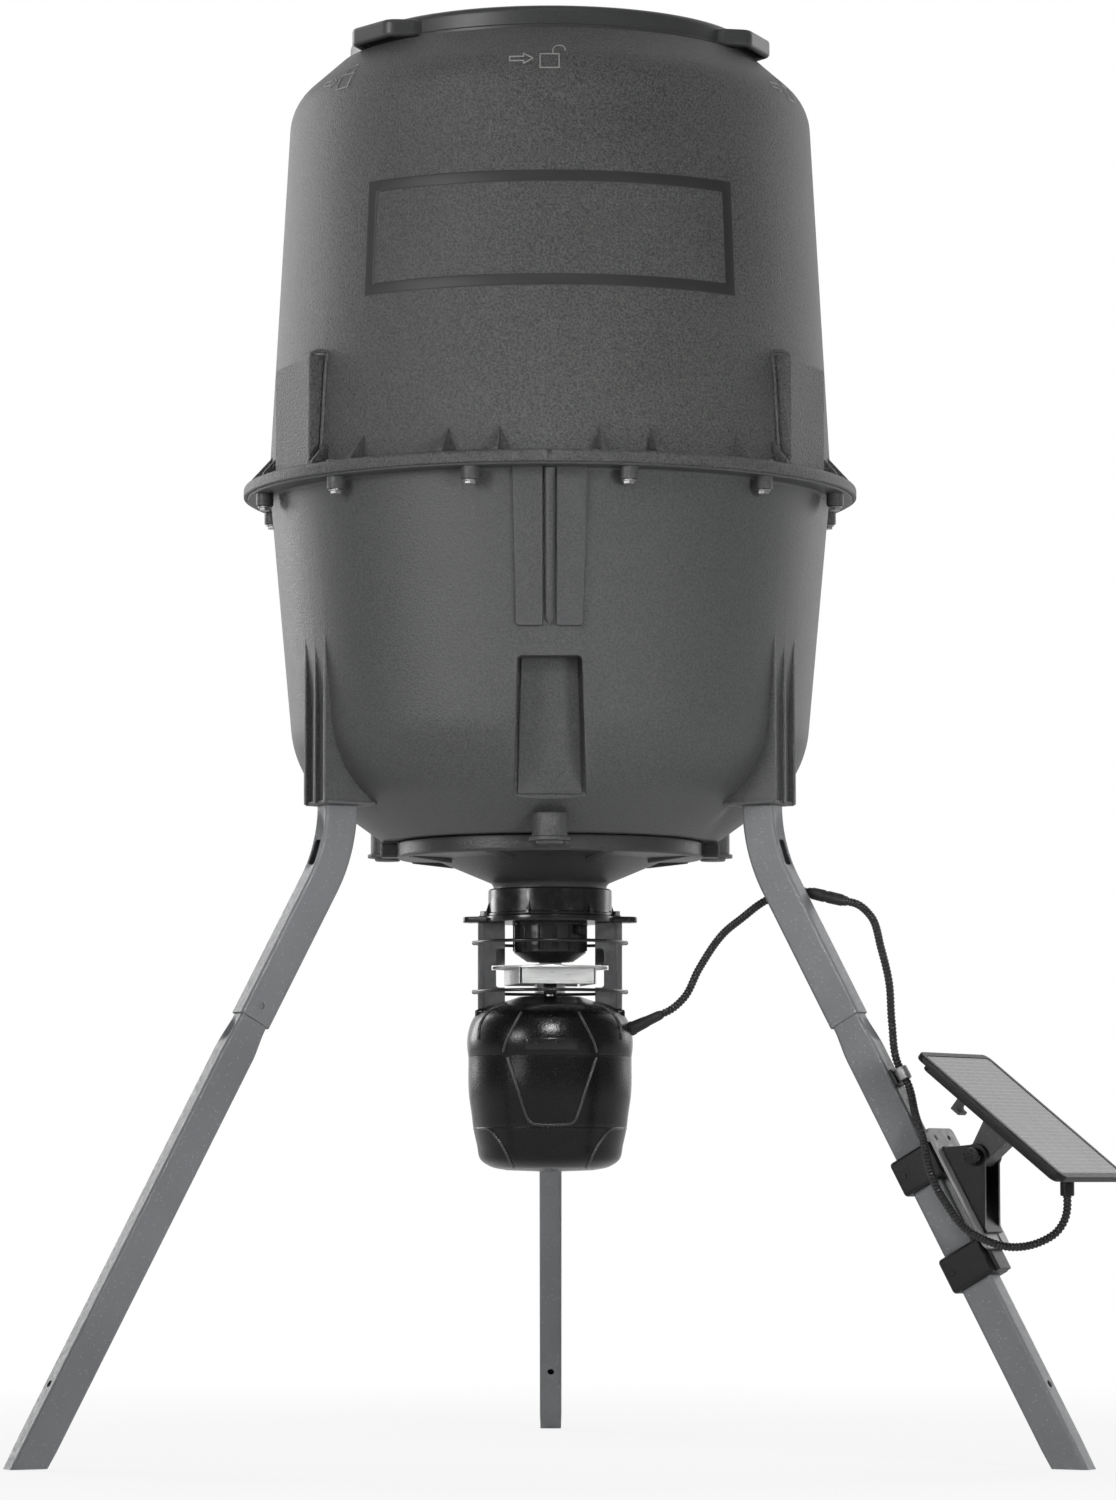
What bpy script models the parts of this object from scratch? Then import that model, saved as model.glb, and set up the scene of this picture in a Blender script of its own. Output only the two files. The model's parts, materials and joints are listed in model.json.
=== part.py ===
"""Spin cast feeder on three legs: hopper, outlet, spinner unit, controller, ribbed cable and solar panel.

Metres, +Z up, ground at z = 0, front towards -Y. Radii are measured from the hopper's axis.
"""

import math

import bmesh
import bpy
from mathutils import Matrix, Vector

# Place of the hopper's axis, so that the origin is the middle of the object's footprint
AXIS_X = -0.0168
AXIS_Y = -0.1062

GAP = 0.0003
DRUM_STEPS = 32
UNIT_STEPS = 24
SMALL_STEPS = 8

# Azimuths, counted from +X about +Z
FRONT = -90.0
LEG_AZIMUTHS = {"left": -150.0, "right": -30.0, "back": 90.0}
PAD_AZIMUTHS = (FRONT, FRONT + 120.0, FRONT - 120.0)
THIRD = 120.0

# Hopper
WALL = 0.004
FLANGE_R = 0.2865
FLANGE_TOP = 0.897
LIP_BOTTOM = 0.8855
SPLIT = 0.889
LOWER_FLANGE_R = 0.283
LOWER_FLANGE_BOTTOM = 0.8835
UPPER_BASE_R = 0.263
SHOULDER_R = 0.2455
SHOULDER_Z = 1.215
LAND_R = 0.1985
LAND_Z = 1.2932
NECK_R = 0.1655
NECK_TOP = 1.3085
LOWER_TOP_R = 0.2609
KNEE_R = 0.2372
KNEE_Z = 0.6239
KNEE_FILLET = 0.097
BOTTOM_R = 0.156
BOTTOM_Z = 0.5655
BOTTOM_HOLE_R = 0.12

# Flange screws, bosses and gussets
SCREW_COUNT = 12
SCREW_CIRCLE = 0.2725
SCREW_SHANK_R = 0.0025
SCREW_HOLE_R = 0.0029
SCREW_HEAD_R = 0.0065
SCREW_HEAD = 0.004
BOSS_R = 0.008
BOSS_BOTTOM = 0.872
GUSSET_ANGLE = 5.2
GUSSET_HEIGHT = 0.025
GUSSET_THICK = 0.0026

# Flat pads on the upper half, over the legs
SIDE_PAD_HALF = 0.036
SIDE_PAD_R = 0.2715
SIDE_PAD_TOP = 1.0

# Pads, recesses and bosses on the lower half, between the legs
FRONT_PAD_HALF = (0.0296, 0.0334)
FRONT_PAD_Z = (0.7427, 0.886)
FRONT_PAD_PROUD = 0.0035
FRONT_CHANNEL_HALF = 0.0062
FRONT_RIB_HALF = 0.0050
FRONT_RIB_PROUD = 0.0060
RECESS_HALF = 0.029
RECESS_TOP = 0.717
RECESS_BACK = ((0.2217, 0.717), (0.2155, 0.655), (0.1970, 0.5975))
RECESS_BOTTOM = 0.5835
FRONT_BOSS_R = 0.0165
FRONT_BOSS_CIRCLE = 0.178
FRONT_BOSS_Z = (0.556, 0.5925)

# Leg tubes: the wide side lies along the radius
LEG_WIDE = 0.032
LEG_THICK = 0.022
LEG_WALL = 0.0015
LEG_CORNER = 0.0035
LEG_TOP_R = 0.2236
LEG_TOP_Z = 0.688
LEG_VERTEX_Z = 0.5534
LEG_LEAN = math.radians(28.93)
LEG_BEND_R = 0.15
LEG_BEND_STEPS = 7
LEG_CREASE = 0.005
UPPER_LEG_RUN = 0.1809
SWAGE = 0.034
SWAGE_INSERT = 0.05
PIN_HOLE_R = 0.0035
LEG_SLOT_Z = (0.5300, 0.5580)
LEG_SLOT_HALF = 0.0065

# Leg sockets under the lower half
SOCKET_WALL = 0.0052
SOCKET_BOTTOM = 0.5915
SOCKET_FIN_R = 0.2476
SOCKET_FIN_TOP = 0.745
SOCKET_FIN_SPREAD = 0.019
SOCKET_FIN_THICK = 0.004

# Lid
LID_R = 0.188
LID_BOTTOM = 1.2938
LID_TOP = 1.3165
LID_WALL = 0.0036
EAR_AZIMUTHS = (FRONT - 52.0, FRONT + 68.0, FRONT + 188.0)
EAR_R = 0.211
EAR_HALF = 0.036
EAR_Z = (1.2945, 1.311)
TAB_TURN = 34.0

# Outlet funnel and feeder unit
FUNNEL_R = 0.1425
FUNNEL_TOP = 0.565
FUNNEL_DISC_BOTTOM = 0.5497
FUNNEL_NECK_R = 0.0525
FUNNEL_NECK_Z = (0.504, 0.5262)
COLLAR_R = 0.0575
COLLAR_RIB_R = 0.0605
COLLAR_Z = (0.4963, 0.5215)
COLLAR_RIBS = 6
COLLAR_RIB_TURN = -20.0
PLATE_R = 0.0605
PLATE_EAR = 0.081
PLATE_EAR_HALF = 0.013
PLATE_Z = (0.4905, 0.496)
NOZZLE_R = 0.0335
NOZZLE_TIP_R = 0.0214
NOZZLE_Z = (0.4541, 0.4625, 0.4902)
STRAP_X = (0.042, 0.067)
STRAP_HALF_Y = 0.0125
STRAP_THICK = 0.0022
STRAP_Z = (0.4098, 0.4902)
STRAP_NOTCH_X = (0.038, 0.0502)
STRAP_SLOT_X = (0.049, 0.0545)
STRAP_SLOT_Z = (0.4462, 0.4512)
STRAP_FRONT_NOTCH_Z = (0.430, 0.466)
STRAP_REAR_NOTCH_Z = (0.430, 0.4515)
RING_R = 0.0706
RING_WIRE = 0.0015
RING_HEIGHTS = {"upper": 0.4718, "lower": 0.4262}
PLATE_BOLT_X = 0.0610
SPINNER_R = 0.0535
SPINNER_TOP = 0.4495
SPINNER_SHEET = 0.0012
SPINNER_BOTTOM = 0.4328
SPINNER_VANES = 4
VANE_OUT = 0.036
VANE_HALF = 0.034
VANE_TURN = 12.0
HUB_R = 0.013
HUB_Z = (0.425, 0.4518)
SET_SCREW_R = 0.005
SHAFT_R = 0.0028

# Controller
DOME_BOTTOM = 0.3663
DOME_TOP = 0.4216
SHAFT_HOLE_R = 0.0045
CUP_TOP = 0.366
CUP_BOTTOM = 0.2595
SHELL = 0.0028
DECK_R = 0.0722
DECK_Z = (0.367, 0.37)
MOTOR_R = 0.0185
MOTOR_TOP = 0.4145
CORE_TOP = 0.3667
BATTERY = ((-0.033, 0.004, 0.301), (0.033, 0.040, CORE_TOP))
TIMER = ((-0.031, -0.036, 0.318), (0.031, -0.004, CORE_TOP))
DISPLAY_HALF = (0.02, 0.008)
DISPLAY_Z = 0.35
BUTTON_X = (-0.018, 0.0, 0.018)
BUTTON_Z = 0.329
BUTTON_R = 0.005
BUTTON_Y = (-0.0385, -0.0335)
BUTTON_POCKET = 0.0315

# Solar panel: a runs down its slope, t across it, m out of its face
PANEL_CENTRE = (0.4803, 0.305)
PANEL_SLOPE = math.radians(38.4)
PANEL_HALF = (0.089, 0.0695)
PANEL_THICK = 0.012
PANEL_RIM = 0.006
GLASS = 0.0025
PIVOT = (0.4436, 0.2732)
PIVOT_R = 0.003
PANEL_BOSS = (0.538, -0.028)
PANEL_BOSS_Z = (0.238, 0.2555)
PANEL_BOSS_R = 0.0062

# Bracket on the right leg: u runs down the leg, n out of its outer face
BRACKET_BLOCKS = (0.261, 0.1755)
BLOCK_LENGTH = 0.034
BLOCK_HALF_T = 0.018
BLOCK_N = (-0.021, 0.0245)
RAIL_N = (0.022, 0.0282)
RAIL_HALF_T = 0.012
BASE_Z = (0.283, 0.177)
BASE_HALF_T = 0.026
BASE_N = (0.0285, 0.0315)
FORK_FOOT_N = (0.0318, 0.0348)
CHEEK_T = (0.0125, 0.0165)
CHEEK_ROUND = 0.011
TONGUE_HALF_T = 0.0118
TONGUE_ROUND = 0.0095

# Cable: routes in metres from the hopper's axis, read along the photographed cable
CABLE_R = 0.0032
RIB_PITCH = 0.0080
RIB_DEPTH = 0.85
CABLE_GAP = 0.0005
GLAND_START = (0.0745, 0.0, 0.3916)
GLAND_END = (0.1030, -0.0100, 0.4050)
GLAND_R = (0.0068, 0.0042)
CONNECTOR_ENDS = ((0.2347, -0.1141, 0.5130), (0.2690, -0.1380, 0.5035))
CONNECTOR_R = 0.0056
CLIP_Z = 0.3346
CLIP_N = 0.025
CLIP_T = -0.003
LEAD_TO_LEG = (
    (0.1235, -0.0192, 0.4195),
    (0.1377, -0.0320, 0.4464),
    (0.1610, -0.0580, 0.4794),
    (0.1752, -0.0740, 0.4906),
    (0.1973, -0.0935, 0.5065),
    (0.2149, -0.1020, 0.5140),
)
LEAD_DOWN_LEG = (
    (0.2895, -0.1553, 0.4893),
    (0.2976, -0.1718, 0.4600),
    (0.3042, -0.1791, 0.4290),
    (0.3065, -0.1805, 0.3930),
)
LEAD_PAST_BRACKET = (
    (0.3256, -0.2035, 0.3105),
    (0.3316, -0.2261, 0.2847),
)
LOOP_START = (0.3377, -0.2388, 0.2555)
LOOP_TO_PANEL = (
    (0.3484, -0.2485, 0.2327),
    (0.3649, -0.2604, 0.2100),
    (0.3817, -0.2700, 0.1996),
    (0.4035, -0.2814, 0.1936),
    (0.4262, -0.2905, 0.1972),
    (0.4435, -0.2935, 0.2080),
    (0.4500, -0.2935, 0.2190),
)


# Scene helpers


def clear_scene():
    for obj in list(bpy.data.objects):
        bpy.data.objects.remove(obj, do_unlink=True)


def new_collection(name, hidden):
    collection = bpy.data.collections.new(name)
    bpy.context.scene.collection.children.link(collection)
    collection.hide_render = hidden
    return collection


def new_empty(name, location, rotation=(0, 0, 0), parent=None):
    empty = bpy.data.objects.new(name, None)
    PARTS.objects.link(empty)
    empty.location = location
    empty.rotation_euler = rotation
    empty.parent = parent
    return empty


def new_material(name, colour, roughness, metallic=0.0):
    material = bpy.data.materials.new(name)
    material.use_nodes = True
    shader = material.node_tree.nodes["Principled BSDF"]
    shader.inputs["Base Color"].default_value = (*colour, 1.0)
    shader.inputs["Roughness"].default_value = roughness
    shader.inputs["Metallic"].default_value = metallic
    material.diffuse_color = (*colour, 1.0)
    return material


def new_object(name, mesh, parent=None, collection=None):
    obj = bpy.data.objects.new(name, mesh)
    (collection or CUTTERS).objects.link(obj)
    obj.parent = parent or ROOT
    if (collection or CUTTERS) == CUTTERS:
        obj.hide_render = True
        obj.display_type = "WIRE"
    return obj


def make_part(obj, material):
    """Moves a finished shape from the helpers to the parts, shades it and gives it its material."""
    if obj.name in CUTTERS.objects:
        CUTTERS.objects.unlink(obj)
    PARTS.objects.link(obj)
    obj.hide_render = False
    obj.display_type = "TEXTURED"
    obj.data.materials.clear()
    obj.data.materials.append(material)
    if obj.type == "MESH":
        obj.data.shade_smooth()
        obj.data.set_sharp_from_angle(angle=math.radians(32))
    return obj


def curve_mesh(name, curve):
    """A curve's surface as a mesh, made in a scene of its own so that nothing else is worked out again."""
    guide = bpy.data.objects.new(f"{name}_guide", curve)
    SHAPING.collection.objects.link(guide)
    layer = SHAPING.view_layers[0]
    layer.update()
    mesh = bpy.data.meshes.new_from_object(guide.evaluated_get(layer.depsgraph))
    bpy.data.objects.remove(guide)
    mesh.name = name
    shape = bmesh.new()
    shape.from_mesh(mesh)
    bmesh.ops.remove_doubles(shape, verts=shape.verts, dist=1e-6)
    bmesh.ops.recalc_face_normals(shape, faces=shape.faces)
    shape.to_mesh(mesh)
    shape.free()
    return mesh


def boolean(obj, operation, others):
    """Joins to or cuts from a shape all the helper shapes in a list."""
    group = bpy.data.collections.new(f"{obj.name}_{operation.lower()}")
    CUTTERS.children.link(group)
    for other in others:
        CUTTERS.objects.unlink(other)
        group.objects.link(other)
    modifier = obj.modifiers.new(group.name, "BOOLEAN")
    modifier.operation = operation
    modifier.operand_type = "COLLECTION"
    modifier.collection = group
    modifier.solver = "EXACT"


def join(obj, *others):
    boolean(obj, "UNION", others)


def cut(obj, *others):
    boolean(obj, "DIFFERENCE", others)


# Shapes


def box(name, low, high, parent=None, bevel=0.0):
    low = Vector(low)
    high = Vector(high)
    shape = bmesh.new()
    bmesh.ops.create_cube(shape, size=1.0)
    size = high - low
    bmesh.ops.scale(shape, vec=size, verts=shape.verts)
    bmesh.ops.translate(shape, vec=(low + high) / 2, verts=shape.verts)
    mesh = bpy.data.meshes.new(name)
    shape.to_mesh(mesh)
    shape.free()
    obj = new_object(name, mesh, parent)
    if bevel:
        add_bevel(obj, bevel)
    return obj


def add_bevel(obj, width, segments=1):
    modifier = obj.modifiers.new("rounded_edges", "BEVEL")
    modifier.width = width
    modifier.segments = segments
    modifier.limit_method = "ANGLE"
    modifier.angle_limit = math.radians(40)
    modifier.use_clamp_overlap = True


def rod(name, start, end, radius, sides=SMALL_STEPS, parent=None, end_radius=None):
    """A cylinder, or a cone where the end has a radius of its own, from one point to another."""
    start = Vector(start)
    end = Vector(end)
    along = end - start
    turn = along.to_track_quat("Z", "Y").to_matrix().to_4x4()
    shape = bmesh.new()
    bmesh.ops.create_cone(
        shape,
        cap_ends=True,
        segments=sides,
        radius1=radius,
        radius2=radius if end_radius is None else end_radius,
        depth=along.length,
        matrix=Matrix.Translation((start + end) / 2) @ turn,
    )
    mesh = bpy.data.meshes.new(name)
    shape.to_mesh(mesh)
    shape.free()
    return new_object(name, mesh, parent)


def turned(name, profile, steps):
    """A ring or disc whose profile of (radius, height) points runs down its outer side."""
    mesh = bpy.data.meshes.new(name)
    points = [(radius, 0.0, height) for radius, height in profile]
    edges = [(index, index + 1) for index in range(len(points) - 1)]
    if profile[0][0] > 0:
        edges.append((len(points) - 1, 0))
    mesh.from_pydata(points, edges, [])
    obj = new_object(name, mesh)
    screw = obj.modifiers.new("turned", "SCREW")
    screw.axis = "Z"
    screw.steps = steps
    screw.render_steps = steps
    screw.use_merge_vertices = True
    screw.merge_threshold = 0.00005
    return obj


def prism(name, outline, half_thickness, parent=None, offset=0.0):
    """A flat outline of (x, z) points, thickened along y."""
    curve = bpy.data.curves.new(name, "CURVE")
    curve.dimensions = "2D"
    curve.fill_mode = "BOTH"
    curve.extrude = half_thickness
    spline = curve.splines.new("POLY")
    spline.points.add(len(outline) - 1)
    for point, (x, z) in zip(spline.points, outline):
        point.co = (x, z, 0.0, 1.0)
    spline.use_cyclic_u = True
    mesh = curve_mesh(name, curve)
    mesh.transform(Matrix.Translation((0, offset, 0)) @ Matrix.Rotation(math.pi / 2, 4, "X"))
    return new_object(name, mesh, parent)


def loft(name, rings, parent=None):
    """A closed skin over rings of points: a ring-shaped body when the last ring meets the first again."""
    shape = bmesh.new()
    loops = [[shape.verts.new(point) for point in ring] for ring in rings]
    for near, far in zip(loops, loops[1:] + loops[:1]):
        count = len(near)
        for index in range(count):
            after = (index + 1) % count
            shape.faces.new((near[index], near[after], far[after], far[index]))
    bmesh.ops.recalc_face_normals(shape, faces=shape.faces)
    mesh = bpy.data.meshes.new(name)
    shape.to_mesh(mesh)
    shape.free()
    return new_object(name, mesh, parent)


def spun(azimuth):
    """A parent that turns +X to an azimuth about the hopper's axis."""
    name = f"azimuth_{round(azimuth % 360)}"
    found = bpy.data.objects.get(name)
    return found or new_empty(name, (0, 0, 0), (0, 0, math.radians(azimuth)), ROOT)


def polar(radius, azimuth, height):
    angle = math.radians(azimuth)
    return Vector((radius * math.cos(angle), radius * math.sin(angle), height))


def arc(centre, radius, start, end, steps):
    """Points of (x, z) on an arc, by angles in degrees."""
    points = []
    for index in range(steps + 1):
        angle = math.radians(start + (end - start) * index / steps)
        points.append((centre[0] + radius * math.cos(angle), centre[1] + radius * math.sin(angle)))
    return points


def fillet(before, corner, after, radius, steps):
    """Points of an arc that rounds the corner between two straight runs."""
    before, corner, after = Vector(before), Vector(corner), Vector(after)
    back = (before - corner).normalized()
    forward = (after - corner).normalized()
    half = back.angle(forward) / 2
    centre = corner + (back + forward).normalized() * radius / math.sin(half)
    start = corner + back * radius / math.tan(half) - centre
    end = corner + forward * radius / math.tan(half) - centre
    turns = [start.slerp(end, index / steps).normalized() for index in range(steps + 1)]
    return [tuple(centre + turn * radius) for turn in turns]


def inset(profile, depth):
    """The same run of points, moved towards the axis and the inside by a wall's thickness."""
    moved = []
    for index, point in enumerate(profile):
        before = Vector(profile[max(index - 1, 0)])
        after = Vector(profile[min(index + 1, len(profile) - 1)])
        along = (after - before).normalized()
        moved.append((point[0] + along.y * depth, point[1] - along.x * depth))
    return moved


# Hopper


def lower_wall():
    """The lower half's outer wall, from under the flange to the flat bottom."""
    top = (LOWER_TOP_R, LOWER_FLANGE_BOTTOM)
    bottom = (BOTTOM_R, BOTTOM_Z)
    return [top, *fillet(top, (KNEE_R, KNEE_Z), bottom, KNEE_FILLET, 4), bottom]


def lower_wall_at(height):
    """The radius of the lower half's straight wall at a height above the knee."""
    slope = (LOWER_TOP_R - KNEE_R) / (LOWER_FLANGE_BOTTOM - KNEE_Z)
    return LOWER_TOP_R - (LOWER_FLANGE_BOTTOM - height) * slope


def inside_lower_wall(depth):
    """The knee of the lower half, a depth inside its wall, from the top down."""
    return inset(lower_wall(), depth)[1:-1]


def upper_wall():
    """The upper half's outer wall, from the lid's land to the flange."""
    shoulder = fillet((LAND_R, LAND_Z), (0.2432, 1.2535), (UPPER_BASE_R, FLANGE_TOP), 0.050, 3)
    return [(LAND_R, LAND_Z), *shoulder, (UPPER_BASE_R, FLANGE_TOP)]


def flange_azimuths():
    step = 360.0 / SCREW_COUNT
    return [FRONT + step * (index + 0.5) for index in range(SCREW_COUNT)]


def hopper_upper():
    outer = upper_wall()
    inner = inset(outer, WALL)
    profile = [
        (NECK_R, NECK_TOP),
        (NECK_R, LAND_Z),
        *outer,
        (FLANGE_R - 0.0015, FLANGE_TOP),
        (FLANGE_R, FLANGE_TOP - 0.0015),
        (FLANGE_R, LIP_BOTTOM),
        (LOWER_FLANGE_R + 0.0006, LIP_BOTTOM),
        (LOWER_FLANGE_R + 0.0006, SPLIT + GAP),
        (inner[-1][0] - 0.0005, SPLIT + GAP),
        *reversed(inner[1:-1]),
        (inner[0][0], LAND_Z - WALL),
        (NECK_R - WALL, LAND_Z - WALL),
        (NECK_R - WALL, NECK_TOP),
    ]
    shell = turned("hopper_upper", profile, DRUM_STEPS)
    added = []
    for azimuth in flange_azimuths():
        low = polar(SCREW_CIRCLE, azimuth, FLANGE_TOP - 0.003)
        high = polar(SCREW_CIRCLE, azimuth, FLANGE_TOP + 0.0016)
        added.append(rod("flange_pad", low, high, BOSS_R + 0.0006))
        for side in (-GUSSET_ANGLE, GUSSET_ANGLE):
            outline = [
                (UPPER_BASE_R - 0.003, FLANGE_TOP - 0.002),
                (FLANGE_R - 0.006, FLANGE_TOP - 0.002),
                (FLANGE_R - 0.006, FLANGE_TOP + 0.002),
                (UPPER_BASE_R - 0.003, FLANGE_TOP + GUSSET_HEIGHT),
            ]
            added.append(prism("gusset", outline, GUSSET_THICK / 2, spun(azimuth + side)))
    for azimuth in LEG_AZIMUTHS.values():
        pad = box(
            "side_pad",
            (UPPER_BASE_R - 0.012, -SIDE_PAD_HALF, FLANGE_TOP - 0.002),
            (SIDE_PAD_R, SIDE_PAD_HALF, SIDE_PAD_TOP),
            spun(azimuth),
            bevel=0.005,
        )
        added.append(pad)
    for azimuth in PAD_AZIMUTHS:
        low = (NECK_R - 0.001, -0.014, 1.3012)
        high = (NECK_R + 0.007, 0.014, 1.3052)
        added.append(box("neck_tab", low, high, spun(azimuth)))
    join(shell, *added)
    holes = []
    for azimuth in flange_azimuths():
        below = polar(SCREW_CIRCLE, azimuth, SPLIT - 0.01)
        above = polar(SCREW_CIRCLE, azimuth, SPLIT + 0.0065)
        holes.append(rod("screw_hole", below, above, SCREW_HOLE_R, 6))
    cut(shell, *holes)
    return make_part(shell, DRUM)


def leg_socket(azimuth):
    """The added solids of one leg socket, and the pocket that the leg goes up into."""
    parent = spun(azimuth)
    half_r = LEG_WIDE / 2
    half_t = LEG_THICK / 2
    block = box(
        "socket_block",
        (LEG_TOP_R - half_r - SOCKET_WALL, -half_t - SOCKET_WALL, SOCKET_BOTTOM),
        (LEG_TOP_R + half_r + SOCKET_WALL - 0.002, half_t + SOCKET_WALL, LEG_TOP_Z + SOCKET_WALL),
        parent,
    )
    foot = box(
        "socket_foot",
        (0.1945, -SOCKET_FIN_SPREAD - 0.003, SOCKET_BOTTOM + 0.0007),
        (SOCKET_FIN_R - 0.002, SOCKET_FIN_SPREAD + 0.003, SOCKET_BOTTOM + 0.0045),
        parent,
    )
    outline = [
        (SOCKET_FIN_R, SOCKET_BOTTOM + 0.0015),
        (SOCKET_FIN_R, SOCKET_FIN_TOP),
        (SOCKET_FIN_R - 0.003, SOCKET_FIN_TOP + 0.015),
        (lower_wall_at(0.7) - 0.003, 0.7),
        *inside_lower_wall(0.003),
        (0.1965, 0.5982),
        (0.1935, SOCKET_BOTTOM + 0.0015),
    ]
    fins = [
        prism("socket_fin", outline, SOCKET_FIN_THICK / 2, parent, offset)
        for offset in (-SOCKET_FIN_SPREAD, 0.0, SOCKET_FIN_SPREAD)
    ]
    pocket = box(
        "socket_pocket",
        (LEG_TOP_R - half_r - GAP, -half_t - GAP, SOCKET_BOTTOM - 0.02),
        (LEG_TOP_R + half_r + GAP, half_t + GAP, LEG_TOP_Z + 0.001),
        parent,
    )
    return [block, foot, *fins], pocket


def front_pad(azimuth):
    """A raised pad with a rib, the wall of the recess below it and a screw boss; and the recess to cut."""
    parent = spun(azimuth)
    low, high = FRONT_PAD_Z
    edge = sum(FRONT_PAD_HALF) / 2
    plate = (edge - FRONT_CHANNEL_HALF) / 2
    pieces = []
    steps = (
        (plate, edge - plate, FRONT_PAD_PROUD, 0.0),
        (plate, plate - edge, FRONT_PAD_PROUD, 0.0),
        (FRONT_RIB_HALF, 0.0, FRONT_RIB_PROUD, 0.001),
    )
    for half, offset, proud, shift in steps:
        outline = [
            (lower_wall_at(low) - 0.0035 + shift, low + shift),
            (lower_wall_at(low) + proud, low + proud + shift),
            (lower_wall_at(high) + proud, high + shift),
            (lower_wall_at(high) - 0.0035 + shift, high + shift),
        ]
        pieces.append(prism("front_pad", outline, half, parent, offset))
    top, middle, bottom = RECESS_BACK
    wall = [
        (top[0] - WALL, RECESS_TOP + WALL),
        (lower_wall_at(RECESS_TOP + WALL) - 0.0036, RECESS_TOP + WALL),
        (lower_wall_at(RECESS_TOP) - 0.0036, RECESS_TOP - 0.0005),
        (lower_wall_at(0.7) - 0.005, 0.7),
        *inside_lower_wall(0.005),
        (bottom[0] - 0.004, bottom[1] - 0.0005),
        (bottom[0] - 0.011, bottom[1] - 0.0065),
        (middle[0] - WALL, middle[1] + 0.001),
    ]
    pieces.append(prism("recess_wall", wall, RECESS_HALF + WALL, parent))
    recess = [
        top,
        (0.29, RECESS_TOP),
        (0.29, RECESS_BOTTOM),
        (bottom[0] - 0.004, RECESS_BOTTOM),
        bottom,
        middle,
    ]
    hollow = prism("recess", recess, RECESS_HALF, parent)
    boss = rod(
        "front_boss",
        (FRONT_BOSS_CIRCLE, 0, FRONT_BOSS_Z[0]),
        (FRONT_BOSS_CIRCLE, 0, FRONT_BOSS_Z[1]),
        FRONT_BOSS_R,
        16,
        parent,
    )
    return [*pieces, boss], hollow


def hopper_lower():
    outer = lower_wall()
    inner = inset(outer, WALL)
    profile = [
        (LOWER_FLANGE_R, SPLIT),
        (LOWER_FLANGE_R, LOWER_FLANGE_BOTTOM),
        *outer,
        (BOTTOM_HOLE_R, BOTTOM_Z),
        (BOTTOM_HOLE_R, BOTTOM_Z + WALL),
        (inner[-1][0] - 0.0005, BOTTOM_Z + WALL),
        *reversed(inner[1:-1]),
        (inner[0][0], SPLIT),
    ]
    shell = turned("hopper_lower", profile, DRUM_STEPS)
    added = []
    pockets = []
    for azimuth in flange_azimuths():
        low = polar(SCREW_CIRCLE, azimuth, BOSS_BOTTOM)
        high = polar(SCREW_CIRCLE, azimuth, SPLIT - 0.002)
        added.append(rod("flange_boss", low, high, BOSS_R))
        below = polar(SCREW_CIRCLE, azimuth, BOSS_BOTTOM - 0.01)
        above = polar(SCREW_CIRCLE, azimuth, SPLIT + 0.01)
        pockets.append(rod("screw_hole", below, above, SCREW_HOLE_R, 6))
    for azimuth in LEG_AZIMUTHS.values():
        solids, pocket = leg_socket(azimuth)
        added += solids
        pockets.append(pocket)
    for azimuth in PAD_AZIMUTHS:
        solids, hollow = front_pad(azimuth)
        added += solids
        pockets.append(hollow)
    join(shell, *added)
    cut(shell, *pockets)
    return make_part(shell, DRUM)


def flange_screws():
    for number, azimuth in enumerate(flange_azimuths(), 1):
        head_top = BOSS_BOTTOM - GAP
        screw = rod(
            f"flange_screw_{number:02d}",
            polar(SCREW_CIRCLE, azimuth, head_top - SCREW_HEAD),
            polar(SCREW_CIRCLE, azimuth, head_top),
            SCREW_HEAD_R,
            6,
        )
        shank = rod(
            "screw_shank",
            polar(SCREW_CIRCLE, azimuth, head_top - SCREW_HEAD / 2),
            polar(SCREW_CIRCLE, azimuth, SPLIT + 0.0055),
            SCREW_SHANK_R,
            6,
        )
        join(screw, shank)
        make_part(screw, ZINC)


def lid():
    profile = [
        (0.0, LID_TOP),
        (LID_R - 0.012, LID_TOP),
        (LID_R - 0.004, LID_TOP - 0.0015),
        (LID_R, LID_TOP - 0.006),
        (LID_R, LID_BOTTOM),
        (LID_R - LID_WALL, LID_BOTTOM),
        (LID_R - LID_WALL, LID_TOP - LID_WALL),
        (0.0, LID_TOP - LID_WALL),
    ]
    cap = turned("lid", profile, DRUM_STEPS)
    added = []
    pockets = []
    for azimuth in EAR_AZIMUTHS:
        low = (LID_R - 0.003, -EAR_HALF, EAR_Z[0])
        high = (EAR_R, EAR_HALF, EAR_Z[1])
        added.append(box("ear", low, high, spun(azimuth), bevel=0.004))
        low = (LID_R + 0.0025, -EAR_HALF + 0.006, EAR_Z[0] - 0.005)
        high = (EAR_R - 0.004, EAR_HALF - 0.006, EAR_Z[1] - 0.005)
        pockets.append(box("ear_pocket", low, high, spun(azimuth)))
    for azimuth in PAD_AZIMUTHS:
        low = (NECK_R + 0.0025, -0.014, 1.2966)
        high = (LID_R - 0.002, 0.014, 1.3006)
        added.append(box("lid_tab", low, high, spun(azimuth + TAB_TURN)))
    join(cap, *added)
    cut(cap, *pockets)
    make_part(cap, DRUM)
    seal = [
        (0.170, 1.3122),
        (0.170, NECK_TOP + GAP),
        (0.158, NECK_TOP + GAP),
        (0.158, 1.3122),
    ]
    make_part(turned("lid_gasket", seal, DRUM_STEPS), RUBBER)


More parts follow.
